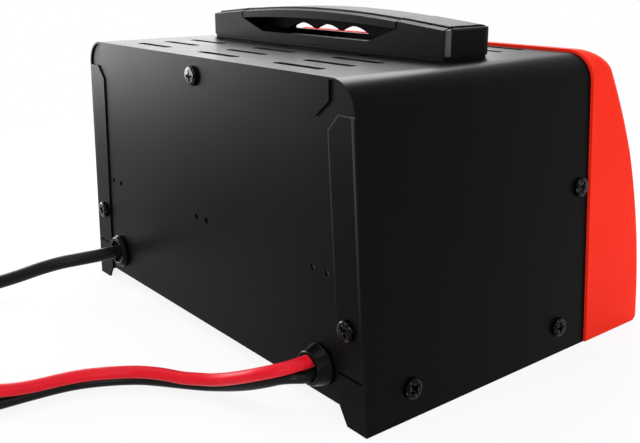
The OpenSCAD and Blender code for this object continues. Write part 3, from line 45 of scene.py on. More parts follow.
class Value:
    """One output of a shader node, which takes part in ordinary arithmetic."""

    def __init__(self, nodes, socket):
        self.nodes, self.socket = nodes, socket

    def maths(self, operation, *numbers):
        return self.nodes.node("ShaderNodeMath", {"operation": operation}, dict(enumerate(numbers)))

    def __add__(self, other):
        return self.maths("ADD", self, other)

    def __sub__(self, other):
        return self.maths("SUBTRACT", self, other)

    def __rsub__(self, other):
        return self.maths("SUBTRACT", other, self)

    def __mul__(self, other):
        return self.maths("MULTIPLY", self, other)

    def __truediv__(self, other):
        return self.maths("DIVIDE", self, other)

    def __pow__(self, other):
        return self.maths("POWER", self, other)

    __radd__, __rmul__ = __add__, __mul__

    def between(self, low, high):
        """0 below low, 1 above high and a soft rise from one to the other."""
        return self.nodes.node("ShaderNodeMapRange", {"interpolation_type": "SMOOTHSTEP"},
                               {"Value": self, "From Min": low, "From Max": high})


class Nodes:
    """The shader nodes of a material or of the surround."""

    def __init__(self, owner):
        owner.use_nodes = True
        self.tree = owner.node_tree

    def node(self, kind, settings=None, inputs=None, output=0):
        """A node of a type, its settings first and then the numbers or links of its sockets."""
        made = self.tree.nodes.new(kind)
        for name, setting in (settings or {}).items():
            setattr(made, name, setting)
        for name, value in (inputs or {}).items():
            if isinstance(value, Value):
                self.tree.links.new(value.socket, made.inputs[name])
            else:
                made.inputs[name].default_value = value
        return Value(self, made.outputs[output])


class Finish(Nodes):
    """A material around one Principled shader, whose even values are set on the shader itself."""

    def __init__(self, name, colour, roughness, **even):
        self.material = bpy.data.materials.new(name)
        super().__init__(self.material)
        self.shader = self.tree.nodes["Principled BSDF"]
        self.set("Base Color", (*colour, 1))
        self.set("Roughness", roughness)
        for socket, value in even.items():
            self.set(socket.replace("_", " "), value)

    def set(self, socket, value):
        """Feed one of the shader's sockets."""
        if isinstance(value, Value):
            self.tree.links.new(value.socket, self.shader.inputs[socket])
        else:
            self.shader.inputs[socket].default_value = value
        return self

    def place(self, stretch=(1, 1, 1)):
        """Where a point of the piece is, in metres, stretched along each axis."""
        at = self.node("ShaderNodeTexCoord", output="Object")
        return self.node("ShaderNodeMapping", {}, {"Vector": at, "Scale": stretch})

    def noise(self, grain, detail=3, stretch=(1, 1, 1), roughness=0.5):
        """Noise whose grains are about that many millimetres across."""
        return self.node("ShaderNodeTexNoise", {}, {"Vector": self.place(stretch), "Scale": 1000 / grain,
                                                    "Detail": detail, "Roughness": roughness})

    def bands(self, axis, pitch, wander, detail):
        """Stripes across an axis, that many millimetres apart."""
        return self.node("ShaderNodeTexWave", {"wave_type": "BANDS", "bands_direction": axis},
                         {"Vector": self.place(), "Scale": 1000 / pitch / 6.28,
                          "Distortion": wander, "Detail": detail})

    def along(self, axis):
        """How far along an axis a point of the piece is, in millimetres."""
        return self.node("ShaderNodeSeparateXYZ", {}, {"Vector": self.place()}, axis) * 1000

    def blend(self, share, first, second):
        """One colour turning into another."""
        first, second = (c if isinstance(c, Value) else (*c, 1) for c in (first, second))
        return self.node("ShaderNodeMix", {"data_type": "RGBA"}, {0: share, 6: first, 7: second}, 2)

    def bump(self, height, depth, strength=1.0):
        """Relief of the given depth in millimetres."""
        self.set("Normal", self.node("ShaderNodeBump", {}, {"Height": height, "Distance": depth / 1000,
                                                            "Strength": strength}))
        return self


def shade(colour, share):
    """The same colour, darker or lighter."""
    return tuple(min(1, c * share) for c in colour)


def powder_coat(name, colour, roughness):
    """Black powder coat: a fine orange peel, a few dust specks and a slightly uneven gloss."""
    coat = Finish(name, colour, roughness, Specular_IOR_Level=0.03)
    peel = coat.noise(1.3, 2)
    fine = coat.noise(0.4, 1)
    patches = coat.noise(38, 4)
    dust = coat.noise(0.5, 1).between(0.72, 0.80)
    tint = coat.blend(patches, shade(colour, 0.8), shade(colour, 1.25))
    coat.tint = coat.blend(dust * 0.15, tint, (0.03, 0.03, 0.03))
    coat.set("Base Color", coat.tint)
    coat.set("Roughness", roughness - 0.04 + patches * 0.08 + dust * 0.1)
    return coat.bump(peel * 0.7 + fine * 0.3, 0.04, 0.3)


def dress(node, finish):
    """Give a CAD node its finish."""
    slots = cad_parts[node].data.materials
    slots.clear()
    slots.append(finish.material)


chassis_coat = powder_coat("chassis_coat", (0.0040, 0.0040, 0.0042), 0.36)
dress("chassis", chassis_coat)

# ---------------------------------------------------------------- transformer
# A stack of varnished steel laminations on a strap, with a nylon bobbin and two
# windings of enamelled copper on its middle leg, bolted down to the base plate.

laminations = Finish("laminations", (0.09, 0.09, 0.10), 0.45, Metallic=0.7)
leaves = laminations.bands("Y", 0.5, 0.6, 2)
laminations.set("Base Color", laminations.blend(leaves, (0.03, 0.03, 0.035), (0.16, 0.16, 0.17)))
laminations.set("Roughness", 0.35 + laminations.noise(6) * 0.3)
laminations.bump(leaves, 0.08, 0.5)
dress("transformer_core", laminations)

nylon = Finish("nylon", (0.62, 0.55, 0.38), 0.5)
nylon.set("Base Color", nylon.blend(nylon.noise(9), (0.50, 0.43, 0.28), (0.66, 0.60, 0.44)))
nylon.bump(nylon.noise(0.8), 0.03, 0.4)
dress("bobbin", nylon)


def wound_copper(name, dark, light):
    """Enamelled wire laid turn beside turn."""
    wire = Finish(name, light, 0.3, Metallic=0.85)
    turns = wire.bands("Z", 1.1, 0.8, 1)
    wire.set("Base Color", wire.blend(turns, dark, light))
    return wire.bump(turns, 0.4, 0.8)


dress("primary_winding", wound_copper("primary_wire", (0.10, 0.025, 0.01), (0.42, 0.13, 0.05)))
dress("secondary_winding", wound_copper("secondary_wire", (0.16, 0.05, 0.02), (0.58, 0.22, 0.09)))


def zinc(name, colour, roughness):
    """Zinc plate, faintly blue and cloudy."""
    plate = Finish(name, colour, roughness, Metallic=1.0)
    cloud = plate.noise(3, 4)
    plate.set("Base Color", plate.blend(cloud, shade(colour, 0.75), colour))
    plate.set("Roughness", roughness - 0.08 + cloud * 0.2)
    return plate.bump(plate.noise(0.6), 0.02, 0.4)


bright_zinc = zinc("bright_zinc", (0.60, 0.61, 0.64), 0.32)
for node in ("core_strap", "core_bolts", "plate_screws", "handle_screws", "grip_stops"):
    dress(node, bright_zinc)

# ---------------------------------------------------------------- rectifier and wiring
# A square bridge rectifier on a finned aluminium plate, a three-way terminal block
# and the insulated wires between them, the switches and the meter.

fins = Finish("fins", (0.62, 0.63, 0.65), 0.38, Metallic=1.0)
fins.set("Roughness", 0.28 + fins.noise(3, 2, (1, 0.05, 1)) * 0.25)
fins.bump(fins.noise(0.5, 2, (1, 0.04, 1)), 0.02, 0.5)
dress("heat_sink", fins)


def moulded(name, colour, roughness, grain=0.6, depth=0.02, gloss=0.3):
    """Moulded plastic with a fine spark texture and a slightly uneven gloss."""
    plastic = Finish(name, colour, roughness, Specular_IOR_Level=gloss)
    cloud = plastic.noise(22, 3)
    plastic.set("Base Color", plastic.blend(cloud, shade(colour, 0.9), shade(colour, 1.08)))
    plastic.set("Roughness", roughness - 0.03 + cloud * 0.06)
    return plastic.bump(plastic.noise(grain, 2), depth, 0.5)


dress("rectifier", moulded("epoxy", (0.012, 0.012, 0.013), 0.55))
dress("terminal_block", moulded("block_plastic", (0.62, 0.60, 0.52), 0.4))


def two_tone(name, black_below, core):
    """Insulated wires of one colour, and the leads' sheaths where they come in through the panel:
    black up to a height in millimetres, and red above it."""
    wire = moulded(name, core, 0.4)
    sheath_end = 71.5
    jacket = wire.blend(wire.along(2).between(black_below, black_below + 0.1),
                        (0.008, 0.008, 0.009), (0.72, 0.010, 0.022))
    wire.set("Base Color", wire.blend(wire.along(1).between(sheath_end, sheath_end + 0.5), core, jacket))
    return wire


dress("mains_wiring", two_tone("mains_wire", 60, (0.10, 0.045, 0.02)))
dress("charging_wiring", two_tone("charging_wire", 22.5, (0.36, 0.02, 0.015)))

# ---------------------------------------------------------------- front moulding
# One orange-red moulding that closes the case at the front and stands proud of it.
# Its face curves back towards the top, and its window holds the control plate.

case_w, case_h, bend_r, lean = 264, 150, 14, math.radians(4)
join_y, front_y, proud, front_wall = -56.5, -106, 1.6, 2.6
face_r, face_z = 300, 12
top_front_r, low_front_r, side_r, side_swell = 18, 5, 3.6, 3.5
window_w, window_h, window_z, recess = 206, 92, 80, 4
frame_w, frame_depth = 5, 26


def half_w(z, inset=0):
    """Half the case's width at a height, measured inside the wall by an inset."""
    return case_w / 2 - z * math.tan(lean) - inset / math.cos(lean)


def mirrored(half):
    """An outline's right half, as (x, z), and its mirror image after it."""
    return half + [(-x, z) for x, z in reversed(half)]


def case_outline(inset):
    """Outline of the case across its width, as (x, z)."""
    z = case_h - bend_r
    x = half_w(z) - bend_r / math.cos(lean)
    bend = [(x + (bend_r - inset) * math.cos(a), z + (bend_r - inset) * math.sin(a))
            for a in (lean + (math.pi / 2 - lean) * i / 28 for i in range(29))]
    return mirrored([(half_w(0, inset), 0)] + bend)


def solid(name, faces_from):
    """A mesh object from a function that fills a bmesh in millimetres."""
    bm = bmesh.new()
    faces_from(bm)
    bmesh.ops.remove_doubles(bm, verts=bm.verts, dist=1e-4)
    bmesh.ops.recalc_face_normals(bm, faces=bm.faces)
    bmesh.ops.transform(bm, matrix=Matrix.Scale(0.001, 4), verts=bm.verts)
    mesh = bpy.data.meshes.new(name)
    bm.to_mesh(mesh)
    bm.free()
    made = bpy.data.objects.new(name, mesh)
    bpy.context.scene.collection.objects.link(made)
    return made


def prism(bm, loop, along):
    """A closed loop of points carried along a vector."""
    near = [bm.verts.new(p) for p in loop]
    far = [bm.verts.new(Vector(p) + Vector(along)) for p in loop]
    bm.faces.new(near)
    bm.faces.new(reversed(far))
    for i in range(len(loop)):
        j = (i + 1) % len(loop)
        bm.faces.new((near[i], near[j], far[j], far[i]))


def prisms(name, *loops):
    """A mesh object of one or more prisms, each given as (loop, along)."""
    return solid(name, lambda bm: [prism(bm, loop, along) for loop, along in loops])


def settle(made):
    """Turn an object's modifiers into plain mesh."""
    mesh = bpy.data.meshes.new_from_object(made.evaluated_get(bpy.context.evaluated_depsgraph_get()))
    made.modifiers.clear()
    made.data = mesh
    return made


def join_solids(made, tool, how="DIFFERENCE"):
    """Cut a tool from an object, or add or keep it, and drop the tool."""
    cut = made.modifiers.new("cut", "BOOLEAN")
    cut.operation, cut.object, cut.solver = how, tool, "EXACT"
    settle(made)
    bpy.data.objects.remove(tool)
    return made


def soften(made, width, segments=2, angle=32):
    """Round an object's sharp edges by a width in millimetres and shade it smooth between them."""
    made.data.shade_smooth()
    made.data.set_sharp_from_angle(angle=math.radians(angle))
    if width:
        edge = made.modifiers.new("edge", "BEVEL")
        edge.width, edge.segments, edge.angle_limit = width / 1000, segments, math.radians(angle)
        edge.harden_normals, edge.miter_outer = True, "MITER_ARC"
        settle(made)
    made.modifiers.new("even", "WEIGHTED_NORMAL").keep_sharp = True
    return settle(made)


def put(made, body, finish, slot, *nodes):
    """Give a piece its finish, its body and the CAD nodes that it stands for."""
    made.data.materials.clear()
    made.data.materials.append(finish.material)
    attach(made, body)
    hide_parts(*nodes)
    return made


def face_y(z):
    """Where the moulding's curved face is at a height."""
    return front_y + face_r - math.sqrt(face_r ** 2 - (z - face_z) ** 2)


def front_profile(inset):
    """Side outline of the moulding from its rear top edge over the front to its underside:
    each point as (y, z, normal y, normal z, edge radius)."""
    top_z, square = case_h + proud, math.pi / 2
    arc_z = top_z - top_front_r
    top_a = math.asin((arc_z - face_z) / (face_r - top_front_r))
    top_y = front_y + face_r - (face_r - top_front_r) * math.cos(top_a)
    low_a = math.asin((face_z - low_front_r) / (face_r - low_front_r))
    low_y = front_y + face_r - (face_r - low_front_r) * math.cos(low_a)
    big, small = bend_r + proud, side_r
    line = [(join_y + (top_y - join_y) * i / 8, top_z, square, big) for i in range(8)]
    for i in range(17):
        a, share = square - (square - top_a) * i / 16, i / 16
        line.append((top_y - top_front_r * math.cos(a), arc_z + top_front_r * math.sin(a), a,
                     big + (small + side_swell - big) * (share * share * (3 - 2 * share))))
    for i in range(1, 31):
        a = top_a - (top_a + low_a) * i / 30
        line.append((front_y + face_r - face_r * math.cos(a), face_z + face_r * math.sin(a), a,
                     small + side_swell * max(0, 1 - i / 10)))
    for i in range(1, 9):
        a = -low_a - (square - low_a) * i / 8
        line.append((low_y - low_front_r * math.cos(a), low_front_r + low_front_r * math.sin(a), a,
                     small + (1 - small) * i / 8))
    line += [(low_y + (join_y - low_y) * i / 4, 0, -square, 1) for i in range(1, 5)]
    out = []
    for y, z, a, r in line:
        n = (-math.cos(a), math.sin(a))
        out.append((y - n[0] * inset, z - n[1] * inset, *n, max(0.3, r - inset)))
    return out


def front_block(name, inset, y_back, z_low):
    """The moulding's outer form as one closed solid, its long edges rounded by a ball that rolls
    between the face and the leaning side wall."""
    side = Vector((math.cos(lean), 0, math.sin(lean)))
    reach = case_w / 2 * math.cos(lean) + proud - inset
    turns = 10

    def faces(bm):
        rows = []
        for y, z, ny, nz, r in front_profile(inset):
            y = y + (y_back - join_y) if abs(y - join_y) < 0.01 else y
            out = Vector((0, ny, nz))
            core = Vector((0, y - ny * r, z - nz * r))
            core.x = (reach - r - core.z * math.sin(lean)) / math.cos(lean)
            swing = out.angle(side)
            row = []
            for t in range(turns + 1):
                a = swing * t / turns
                arm = (out * math.sin(swing - a) + side * math.sin(a)) / math.sin(swing)
                p = core + arm * r
                row.append((p.x, p.y, max(p.z, z_low)))
            rows.append(row)
        right, left = ([[bm.verts.new((sign * x, y, z)) for x, y, z in row] for row in rows]
                       for sign in (1, -1))
        for grid in (right, left):
            for a, b in zip(grid, grid[1:]):
                for i in range(turns):
                    bm.faces.new((a[i], a[i + 1], b[i + 1], b[i]))
        for i in range(len(rows) - 1):
            bm.faces.new((right[i][0], right[i + 1][0], left[i + 1][0], left[i][0]))
        for grid, sign in ((right, 1), (left, -1)):
            wall = [row[-1] for row in grid]
            foot_z = wall[-1].co.z
            foot = bm.verts.new((sign * (reach - foot_z * math.sin(lean)) / math.cos(lean), y_back, foot_z))
            bm.faces.new([*wall, foot])
            grid.append(foot)
        for row in (-2, 0):
            bm.faces.new([*reversed(right[row]), *left[row], left[-1], right[-1]])

    return solid(name, faces)


window_low, window_high = window_z - window_h / 2, window_z + window_h / 2
plate_lean = math.atan((face_y(window_high) - face_y(window_low)) / window_h)
plate_y = (face_y(window_high) + face_y(window_low)) / 2 + recess / math.cos(plate_lean)
plate_frame = Matrix.Translation((0, plate_y, window_z)) @ Matrix.Rotation(-plate_lean, 4, "X")


def arc(x, y, r, start, steps, sweep=90):
    """Points on an arc about (x, y), from a start angle in degrees and through a sweep."""
    return [(x + r * math.cos(a), y + r * math.sin(a))
            for a in (math.radians(start + sweep * i / steps) for i in range(steps + 1))]


def round_rect(w, h, r):
    """Corner points of a rectangle with round corners, as (u, v)."""
    return [p for sx, sy, start in ((1, 1, 0), (-1, 1, 90), (-1, -1, 180), (1, -1, 270))
            for p in arc(sx * (w / 2 - r), sy * (h / 2 - r), r, start, 8)]


def on_plate(name, loop, near, far):
    """A prism square to the control plate, between two depths behind its outer face."""
    return prisms(name, ([plate_frame @ Vector((u, near, v)) for u, v in loop],
                         plate_frame.to_3x3() @ Vector((0, far - near, 0))))


slant_h = window_h / math.cos(plate_lean)
moulding = front_block("front_moulding_shell", 0, join_y, 0)
join_solids(moulding, front_block("hollow", front_wall, join_y + 5, front_wall))
window_frame = on_plate("window_frame", round_rect(window_w + 2 * frame_w, slant_h + 2 * frame_w, 6),
                        -frame_depth, 0)
join_solids(window_frame, front_block("frame_limit", 0.4, join_y, 1), "INTERSECT")
join_solids(moulding, window_frame, "UNION")
join_solids(moulding, on_plate("window", round_rect(window_w, slant_h, 5), -60, 1))
soften(moulding, 0.5, 3)

front_red = Finish("front_red", (0.84, 0.027, 0.011), 0.34, Specular_IOR_Level=0.02)
red_cloud = front_red.noise(45, 3)
front_red.set("Base Color", front_red.blend(red_cloud, (0.81, 0.024, 0.009), (0.87, 0.030, 0.013)))
front_red.set("Roughness", 0.30 + red_cloud * 0.08)
front_red.bump(front_red.noise(0.9, 2), 0.02, 0.3)
put(moulding, "charger", front_red, "front_plastic", "front_moulding")

# ---------------------------------------------------------------- control plate
# A black steel plate, screwed behind the moulding's window, with the meter, three
# rocker switches, the breaker's reset button and two pilot lamps snapped into it.

plate_coat = powder_coat("plate_coat", (0.012, 0.012, 0.013), 0.5)
dress("control_plate", plate_coat)
gloss_black = moulded("gloss_black", (0.010, 0.010, 0.011), 0.22, 0.5, 0.008)
for node in ("ammeter_case", "mains_switch", "voltage_switch", "rate_switch", "breaker_body",
             "voltage_rocker", "rate_rocker"):
    dress(node, gloss_black)
dress("mains_rocker", moulded("rocker_red", (0.55, 0.02, 0.012), 0.25, 0.5, 0.008))
dress("reset_button", moulded("button_white", (0.50, 0.50, 0.46), 0.35))
card = Finish("dial_card", (0.80, 0.78, 0.72), 0.7)
pivot_x, pivot_z, sweep, scale_r = -58, 66.9, 80, 27
across, up = card.along(0) - pivot_x, (card.along(2) - pivot_z) / math.cos(plate_lean)
reach = (across * across + up * up) ** 0.5
turn = across.maths("ARCTAN2", across, up) * math.degrees(1)


def inked(off, half_line):
    """1 within half a line's width of where the offset is 0."""
    return 1 - off.maths("ABSOLUTE", off).between(half_line - 0.06, half_line + 0.06)


def ticks(step, out):
    """Printed ticks every so many degrees of the needle's sweep, out to a radius in millimetres."""
    part = (turn + sweep / 2) / step + 0.5
    lines = inked((part.maths("FRACT", part) - 0.5) * step * 0.5, 0.3)
    return lines * inked(reach - (scale_r + out) / 2, (out - scale_r) / 2)


ink = ticks(8, 29.5) + ticks(16, 32) + inked(reach - scale_r, 0.3)
ink = ink.maths("MINIMUM", ink, 1) * inked(turn, sweep / 2 + 0.6)
paper = card.blend(card.noise(14), (0.77, 0.75, 0.69), (0.83, 0.81, 0.75))
card.set("Base Color", card.blend(ink, paper, (0.015, 0.015, 0.015)))
card.bump(card.noise(0.5), 0.01, 0.3)
dress("ammeter_dial", card)
dress("ammeter_movement", bright_zinc)
dress("ammeter_needle", moulded("needle_red", (0.45, 0.02, 0.012), 0.4))
clear = Finish("clear_window", (0.9, 0.95, 0.97), 0.04, Transmission_Weight=1.0, IOR=1.49)
clear.set("Roughness", clear.noise(30) * 0.05 + 0.01)
dress("ammeter_window", clear)
for node, colour in (("mains_lamp", (0.7, 0.03, 0.015)), ("charge_lamp", (0.03, 0.42, 0.07))):
    lens = Finish(node + "_lens", colour, 0.08, Transmission_Weight=0.6, IOR=1.49)
    lens.set("Roughness", lens.noise(4) * 0.06 + 0.05)
    dress(node, lens)

# ---------------------------------------------------------------- cover
# The outer half of the case: top, side walls and rear flanges folded from one
# sheet, with punched vent slots, powder coated black and screwed to the chassis.

case_d, sheet, rear_y, rear_bend = 154, 1, 97.5, 2.2
flange_w, flange_h, flange_chamfer = 17.3, 16.7, 9
foot_h, slit_w, foot_taper, foot_corner_z = 23.3, 1.0, 4.5, 8
slot_l, slot_w, slot_row, slot_column, slot_rear, slot_front = 36, 5, 17.2, 67, 14.9, 6.5
handle_y, leg_x, guide_w, guide_t, hole_gap = rear_y - 91, 62, 9.7, 17.7, 0.2

bend_x = half_w(case_h - bend_r) - bend_r / math.cos(lean)
flange_x, flange_low, flange_top = bend_x - 2, case_h - flange_h, case_h - bend_r
chamfer_rise = flange_chamfer * 0.8


def side_flange(sign):
    """Outline of one rear flange and its foot, with the slit between them, as (x, z)."""
    corner, foot, slit_top, slit_end = flange_top - chamfer_rise, foot_corner_z, foot_h + slit_w, 1.6
    points = [(half_w(0), 0), (half_w(flange_top), flange_top),
              (half_w(flange_top) - flange_w + chamfer_rise, flange_top), (half_w(corner) - flange_w, corner),
              (half_w(slit_top) - flange_w, slit_top), (half_w(foot_h) - slit_end, slit_top),
              (half_w(foot_h) - slit_end, foot_h), (half_w(foot_h) - flange_w, foot_h),
              (half_w(foot) - flange_w, foot), (half_w(0) - flange_w + foot_taper, 0)]
    return [(sign * x, z) for x, z in points]


def at_y(loop, y):
    """An outline of (x, z) points, stood up at a depth."""
    return [(x, y, z) for x, z in loop]


def at_z(loop, z):
    """An outline of (x, y) points, laid flat at a height."""
    return [(x, y, z) for x, y in loop]


band = case_outline(0) + list(reversed(case_outline(sheet)))
top_flange = mirrored([(flange_x, case_h), (flange_x, flange_low + chamfer_rise),
                       (flange_x - flange_chamfer, flange_low)])
cover = prisms("cover_sheet", (at_y(band, join_y), (0, case_d, 0)))
for loop in (top_flange, side_flange(1), side_flange(-1)):
    join_solids(cover, prisms("flange", (at_y(loop, rear_y - sheet), (0, sheet, 0))), "UNION")


def block(name, x, w, t, low, high):
    """A square-cornered block on the handle's middle line."""
    loop = [(x + sx * w / 2, handle_y + sy * t / 2) for sx, sy in ((1, 1), (-1, 1), (-1, -1), (1, -1))]
    return prisms(name, (at_z(loop, low), (0, 0, high - low)))


for side in (-1, 1):
    hole = block("guide_hole", side * leg_x, guide_w + 2 * hole_gap, guide_t + 2 * hole_gap,
                 case_h - 3, case_h + 2)
    join_solids(cover, hole)
slot_ys = [rear_y - slot_rear - k * slot_row for k in range(4)]
slot_ys += [join_y + slot_front + k * slot_row for k in range(3)]
slot = [p for side, start in ((1, -90), (-1, 90))
        for p in arc(side * (slot_l - slot_w) / 2, 0, slot_w / 2, start, 12, 180)]
slots = [([(column * slot_column + u, y + v, case_h - 5) for u, v in slot], (0, 0, 10))
         for y in slot_ys for column in (-1, 0, 1)]
join_solids(cover, prisms("slots", *slots))

bm = bmesh.new()
bm.from_mesh(cover.data)
bends = []
for edge in bm.edges:
    a, b = (v.co * 1000 for v in edge.verts)
    if abs(a.y - rear_y) < 0.01 and abs(b.y - rear_y) < 0.01:
        along_top = all(abs(p.z - case_h) < 0.01 and abs(p.x) < flange_x + 0.1 for p in (a, b))
        along_wall = all(abs(abs(p.x) - half_w(p.z)) < 0.02 and p.z < flange_top + 0.1 for p in (a, b))
        if along_top or along_wall:
            bends.append(edge)
bmesh.ops.bevel(bm, geom=bends, offset=rear_bend / 1000, segments=5, profile=0.5, affect="EDGES",
                clamp_overlap=True)
speck = 5e-6  # metres: points closer than this are one
bmesh.ops.remove_doubles(bm, verts=bm.verts, dist=speck)
bmesh.ops.dissolve_degenerate(bm, dist=speck, edges=bm.edges)
bmesh.ops.holes_fill(bm, edges=[edge for edge in bm.edges if edge.is_boundary])
bm.to_mesh(cover.data)
bm.free()
soften(cover, 0)

case_coat = powder_coat("case_coat", (0.0026, 0.0026, 0.0028), 0.35)
x, y, z = (case_coat.along(axis) for axis in range(3))
# Painted highlights: lighter lines along each rear flange's inner edge and along the outer fold beside it,
# where light catches the edges.
across = x.maths("ABSOLUTE", x) + z * math.tan(lean) - (case_w / 2 - flange_w)
below = flange_top - z
inset = across.maths("MINIMUM", across.maths("MINIMUM", across, below), (across + below - chamfer_rise) * 0.7)
edge_line = (1 - inset.between(0.4, 1.0)) * inset.between(-0.2, -0.1)
edge_line = edge_line * y.between(rear_y - 0.4, rear_y - 0.3)
fold = flange_w - across
fold_line = fold.between(0.8, 1.3) * (1 - fold.between(1.9, 2.5)) * below.between(0, 0.5)
fold_line = fold_line * y.between(rear_y - 1.2, rear_y - 0.8)
painted_edge_highlight = (edge_line + fold_line) * z.between(30, 120) * 0.8
case_coat.set("Base Color", case_coat.blend(painted_edge_highlight, case_coat.tint, (0.035, 0.035, 0.036)))
put(cover, "charger", case_coat, "case_steel", "cover")

# ---------------------------------------------------------------- handle
# A black moulded base screwed to the cover from inside, a grip arched between
# its end blocks that lifts on two guided legs, and a soft finger pad under it.

handle_l, handle_t = 200, 34
block_h, bar_h, plinth_h, plinth_inset = 18, 6, 1.6, 0.7
grip_l, grip_rise, grip_t, under_rise, seam_gap = 134, 2.8, 5, 2, 1.1
rear_corner_r, front_corner_r, front_edge_r = 2.5, 10, 9
rim_w, rim_drop, line_w, line_depth, end_rim_w = 3, 0.9, 1.1, 1.9, 1.5
trough_wall, trough_h, gap_h = 2.2, 12, 12
leg_w, leg_t, leg_travel, guide_low, guide_gap = 6, 14, 18, case_h - 8, 0.25
half_l, seam_x = handle_l / 2, grip_l / 2
rear_side, front_side = handle_y + handle_t / 2, handle_y - handle_t / 2
bar_top, block_z = case_h + bar_h, case_h + block_h
slope_foot, slope_top = seam_x - 21, bar_top + 7
grip_under = block_z - grip_t


def handle_plan(inset):
    """Plan of the handle, inset all round: tight corners at the rear and easy ones at the front."""
    points = []
    l, t = handle_l / 2 - inset, handle_t / 2 - inset
    corners = ((1, 1, rear_corner_r), (-1, 1, rear_corner_r),
               (-1, -1, front_corner_r), (1, -1, front_corner_r))
    for quarter, (sx, sy, r) in enumerate(corners):
        r = max(0.4, r - inset)
        points += arc(sx * (l - r), handle_y + sy * (t - r), r, 90 * quarter, 10)
    return points


def arch(x, rise):
    """Height of the grip's arch above its ends."""
    r = (seam_x ** 2 + rise ** 2) / (2 * rise)
    return math.sqrt(r * r - x * x) - r + rise


def handle_top(x):
    """Height of the handle's top along its length: an arched grip between two falling blocks."""
    x = abs(x)
    return block_z + arch(x, grip_rise) if x <= seam_x else block_z + 0.3 - 0.09 * (x - seam_x)


def ring_walls(bm, rings):
    """Faces between closed rings of points, each ring joined to the next."""
    for a, b in zip(rings, rings[1:]):
        for i in range(len(a)):
            j = (i + 1) % len(a)
            bm.faces.new((a[i], a[j], b[j], b[i]))


def handle_limit():
    """The room above the case that the handle's rounded section leaves: at the rear a sloping rim
    and a line between it and the top, at the front a broad soft edge."""
    past_end = half_l + 3
    stations = [-past_end + (past_end - seam_x) * i / 6 for i in range(6)] + [-seam_x - 0.01]
    stations += [-seam_x + grip_l * i / 32 for i in range(33)]
    stations += [-x for x in reversed(stations[:7])]
    inner = -rim_w - line_w
    rim = [(1, -2.1), (0, -1.75), (-rim_w, -rim_drop), (-rim_w - 0.01, -line_depth), (inner, -line_depth),
           (inner - 0.01, -0.15), (inner - 0.4, 0)]

    def faces(bm):
        rings = []
        for x in stations:
            z = handle_top(x)
            ring = [(rear_side + 1, case_h - 1)] + [(rear_side + u, z + v) for u, v in rim]
            ring += [(front_side + front_edge_r - front_edge_r * math.sin(a),
                      z - front_edge_r * (1 - math.cos(a)))
                     for a in (math.radians(7.5 * i) for i in range(13))]
            ring += [(front_side - 1, z - front_edge_r - 2), (front_side - 1, case_h - 1)]
            rings.append([bm.verts.new((x, *p)) for p in ring])
        ring_walls(bm, rings)
        bm.faces.new(rings[0])
        bm.faces.new(reversed(rings[-1]))

    return solid("handle_limit", faces)


end_z, line_x = handle_top(half_l - rim_w), half_l - end_rim_w
base_side = mirrored([
    (half_l, case_h + plinth_h), (half_l, end_z - 1.8), (half_l - 0.7, end_z - 1.1),
    (line_x, end_z - rim_drop), (line_x, end_z - line_depth), (line_x - line_w, end_z - line_depth),
    (line_x - line_w, end_z + 0.03), (seam_x, block_z + 1), (seam_x, slope_top), (slope_foot, bar_top)])
handle_base = prisms("handle_base_moulding", (at_y(base_side, front_side - 1), (0, handle_t + 2, 0)))
join_solids(handle_base, prisms("plan", (at_z(handle_plan(0), case_h), (0, 0, block_h + 2))), "INTERSECT")
join_solids(handle_base, handle_limit(), "INTERSECT")
trough_z = bar_top - 3
trough = block("trough", 0, 2 * (seam_x - 4), handle_t - 2 * trough_wall, trough_z, trough_z + trough_h)
join_solids(handle_base, trough)
gap_foot, gap_top = slope_foot + 12, seam_x - 3
front_gap = [(-gap_foot, bar_top), (gap_foot, bar_top),
             (gap_top, bar_top + gap_h), (-gap_top, bar_top + gap_h)]
join_solids(handle_base, prisms("front_gap", (at_y(front_gap, front_side - 1), (0, handle_t / 2, 0))))
soften(handle_base, 0.55, 3)
plinth = prisms("plinth", (at_z(handle_plan(plinth_inset), case_h), (0, 0, plinth_h + 0.3)))
join_solids(handle_base, plinth, "UNION")
for side in (-1, 1):
    guide = block("guide", side * leg_x, guide_w, guide_t, guide_low, trough_z)
    join_solids(handle_base, guide, "UNION")
    bore = block("guide_bore", side * leg_x, leg_w + 2 * guide_gap, leg_t + 2 * guide_gap,
                 guide_low - 1, bar_top + 30)
    join_solids(handle_base, bore)
handle_black = moulded("handle_black", (0.0034, 0.0034, 0.0037), 0.48, 0.55, 0.03, 0.03)
x, y, z = (handle_black.along(axis) for axis in range(3))
# Painted highlight: a lighter strip up each rear vertical corner of the base, where light catches the
# rounding.
painted_highlight = x.maths("ABSOLUTE", x).between(half_l - 2, half_l - 1) * y.between(rear_side - 2.7, rear_side - 2.3)
painted_highlight = painted_highlight * z.between(case_h + 2, case_h + 2.6) * (0.75 + handle_black.noise(2.5) * 0.5)
handle_black.set("Base Color", handle_black.blend(painted_highlight, (0.0038, 0.0038, 0.0041), (0.085, 0.085, 0.085)))
put(handle_base, "charger", handle_black, "handle_plastic", "handle_base")

xs = [-seam_x + seam_gap + (grip_l - 2 * seam_gap) * i / 40 for i in range(41)]
grip_side = [(x, grip_under + arch(x, under_rise)) for x in xs]
grip_side += [(x, block_z + arch(x, grip_rise)) for x in reversed(xs)]
grip = prisms("handle_grip_moulding", (at_y(grip_side, front_side), (0, handle_t, 0)))
join_solids(grip, handle_limit(), "INTERSECT")
soften(grip, 0.7, 3)
for side in (-1, 1):
    leg = block("leg", side * leg_x, leg_w, leg_t, guide_low - leg_travel, grip_under + 1)
    join_solids(grip, leg, "UNION")
put(grip, "grip", handle_black, "handle_plastic", "handle_grip")

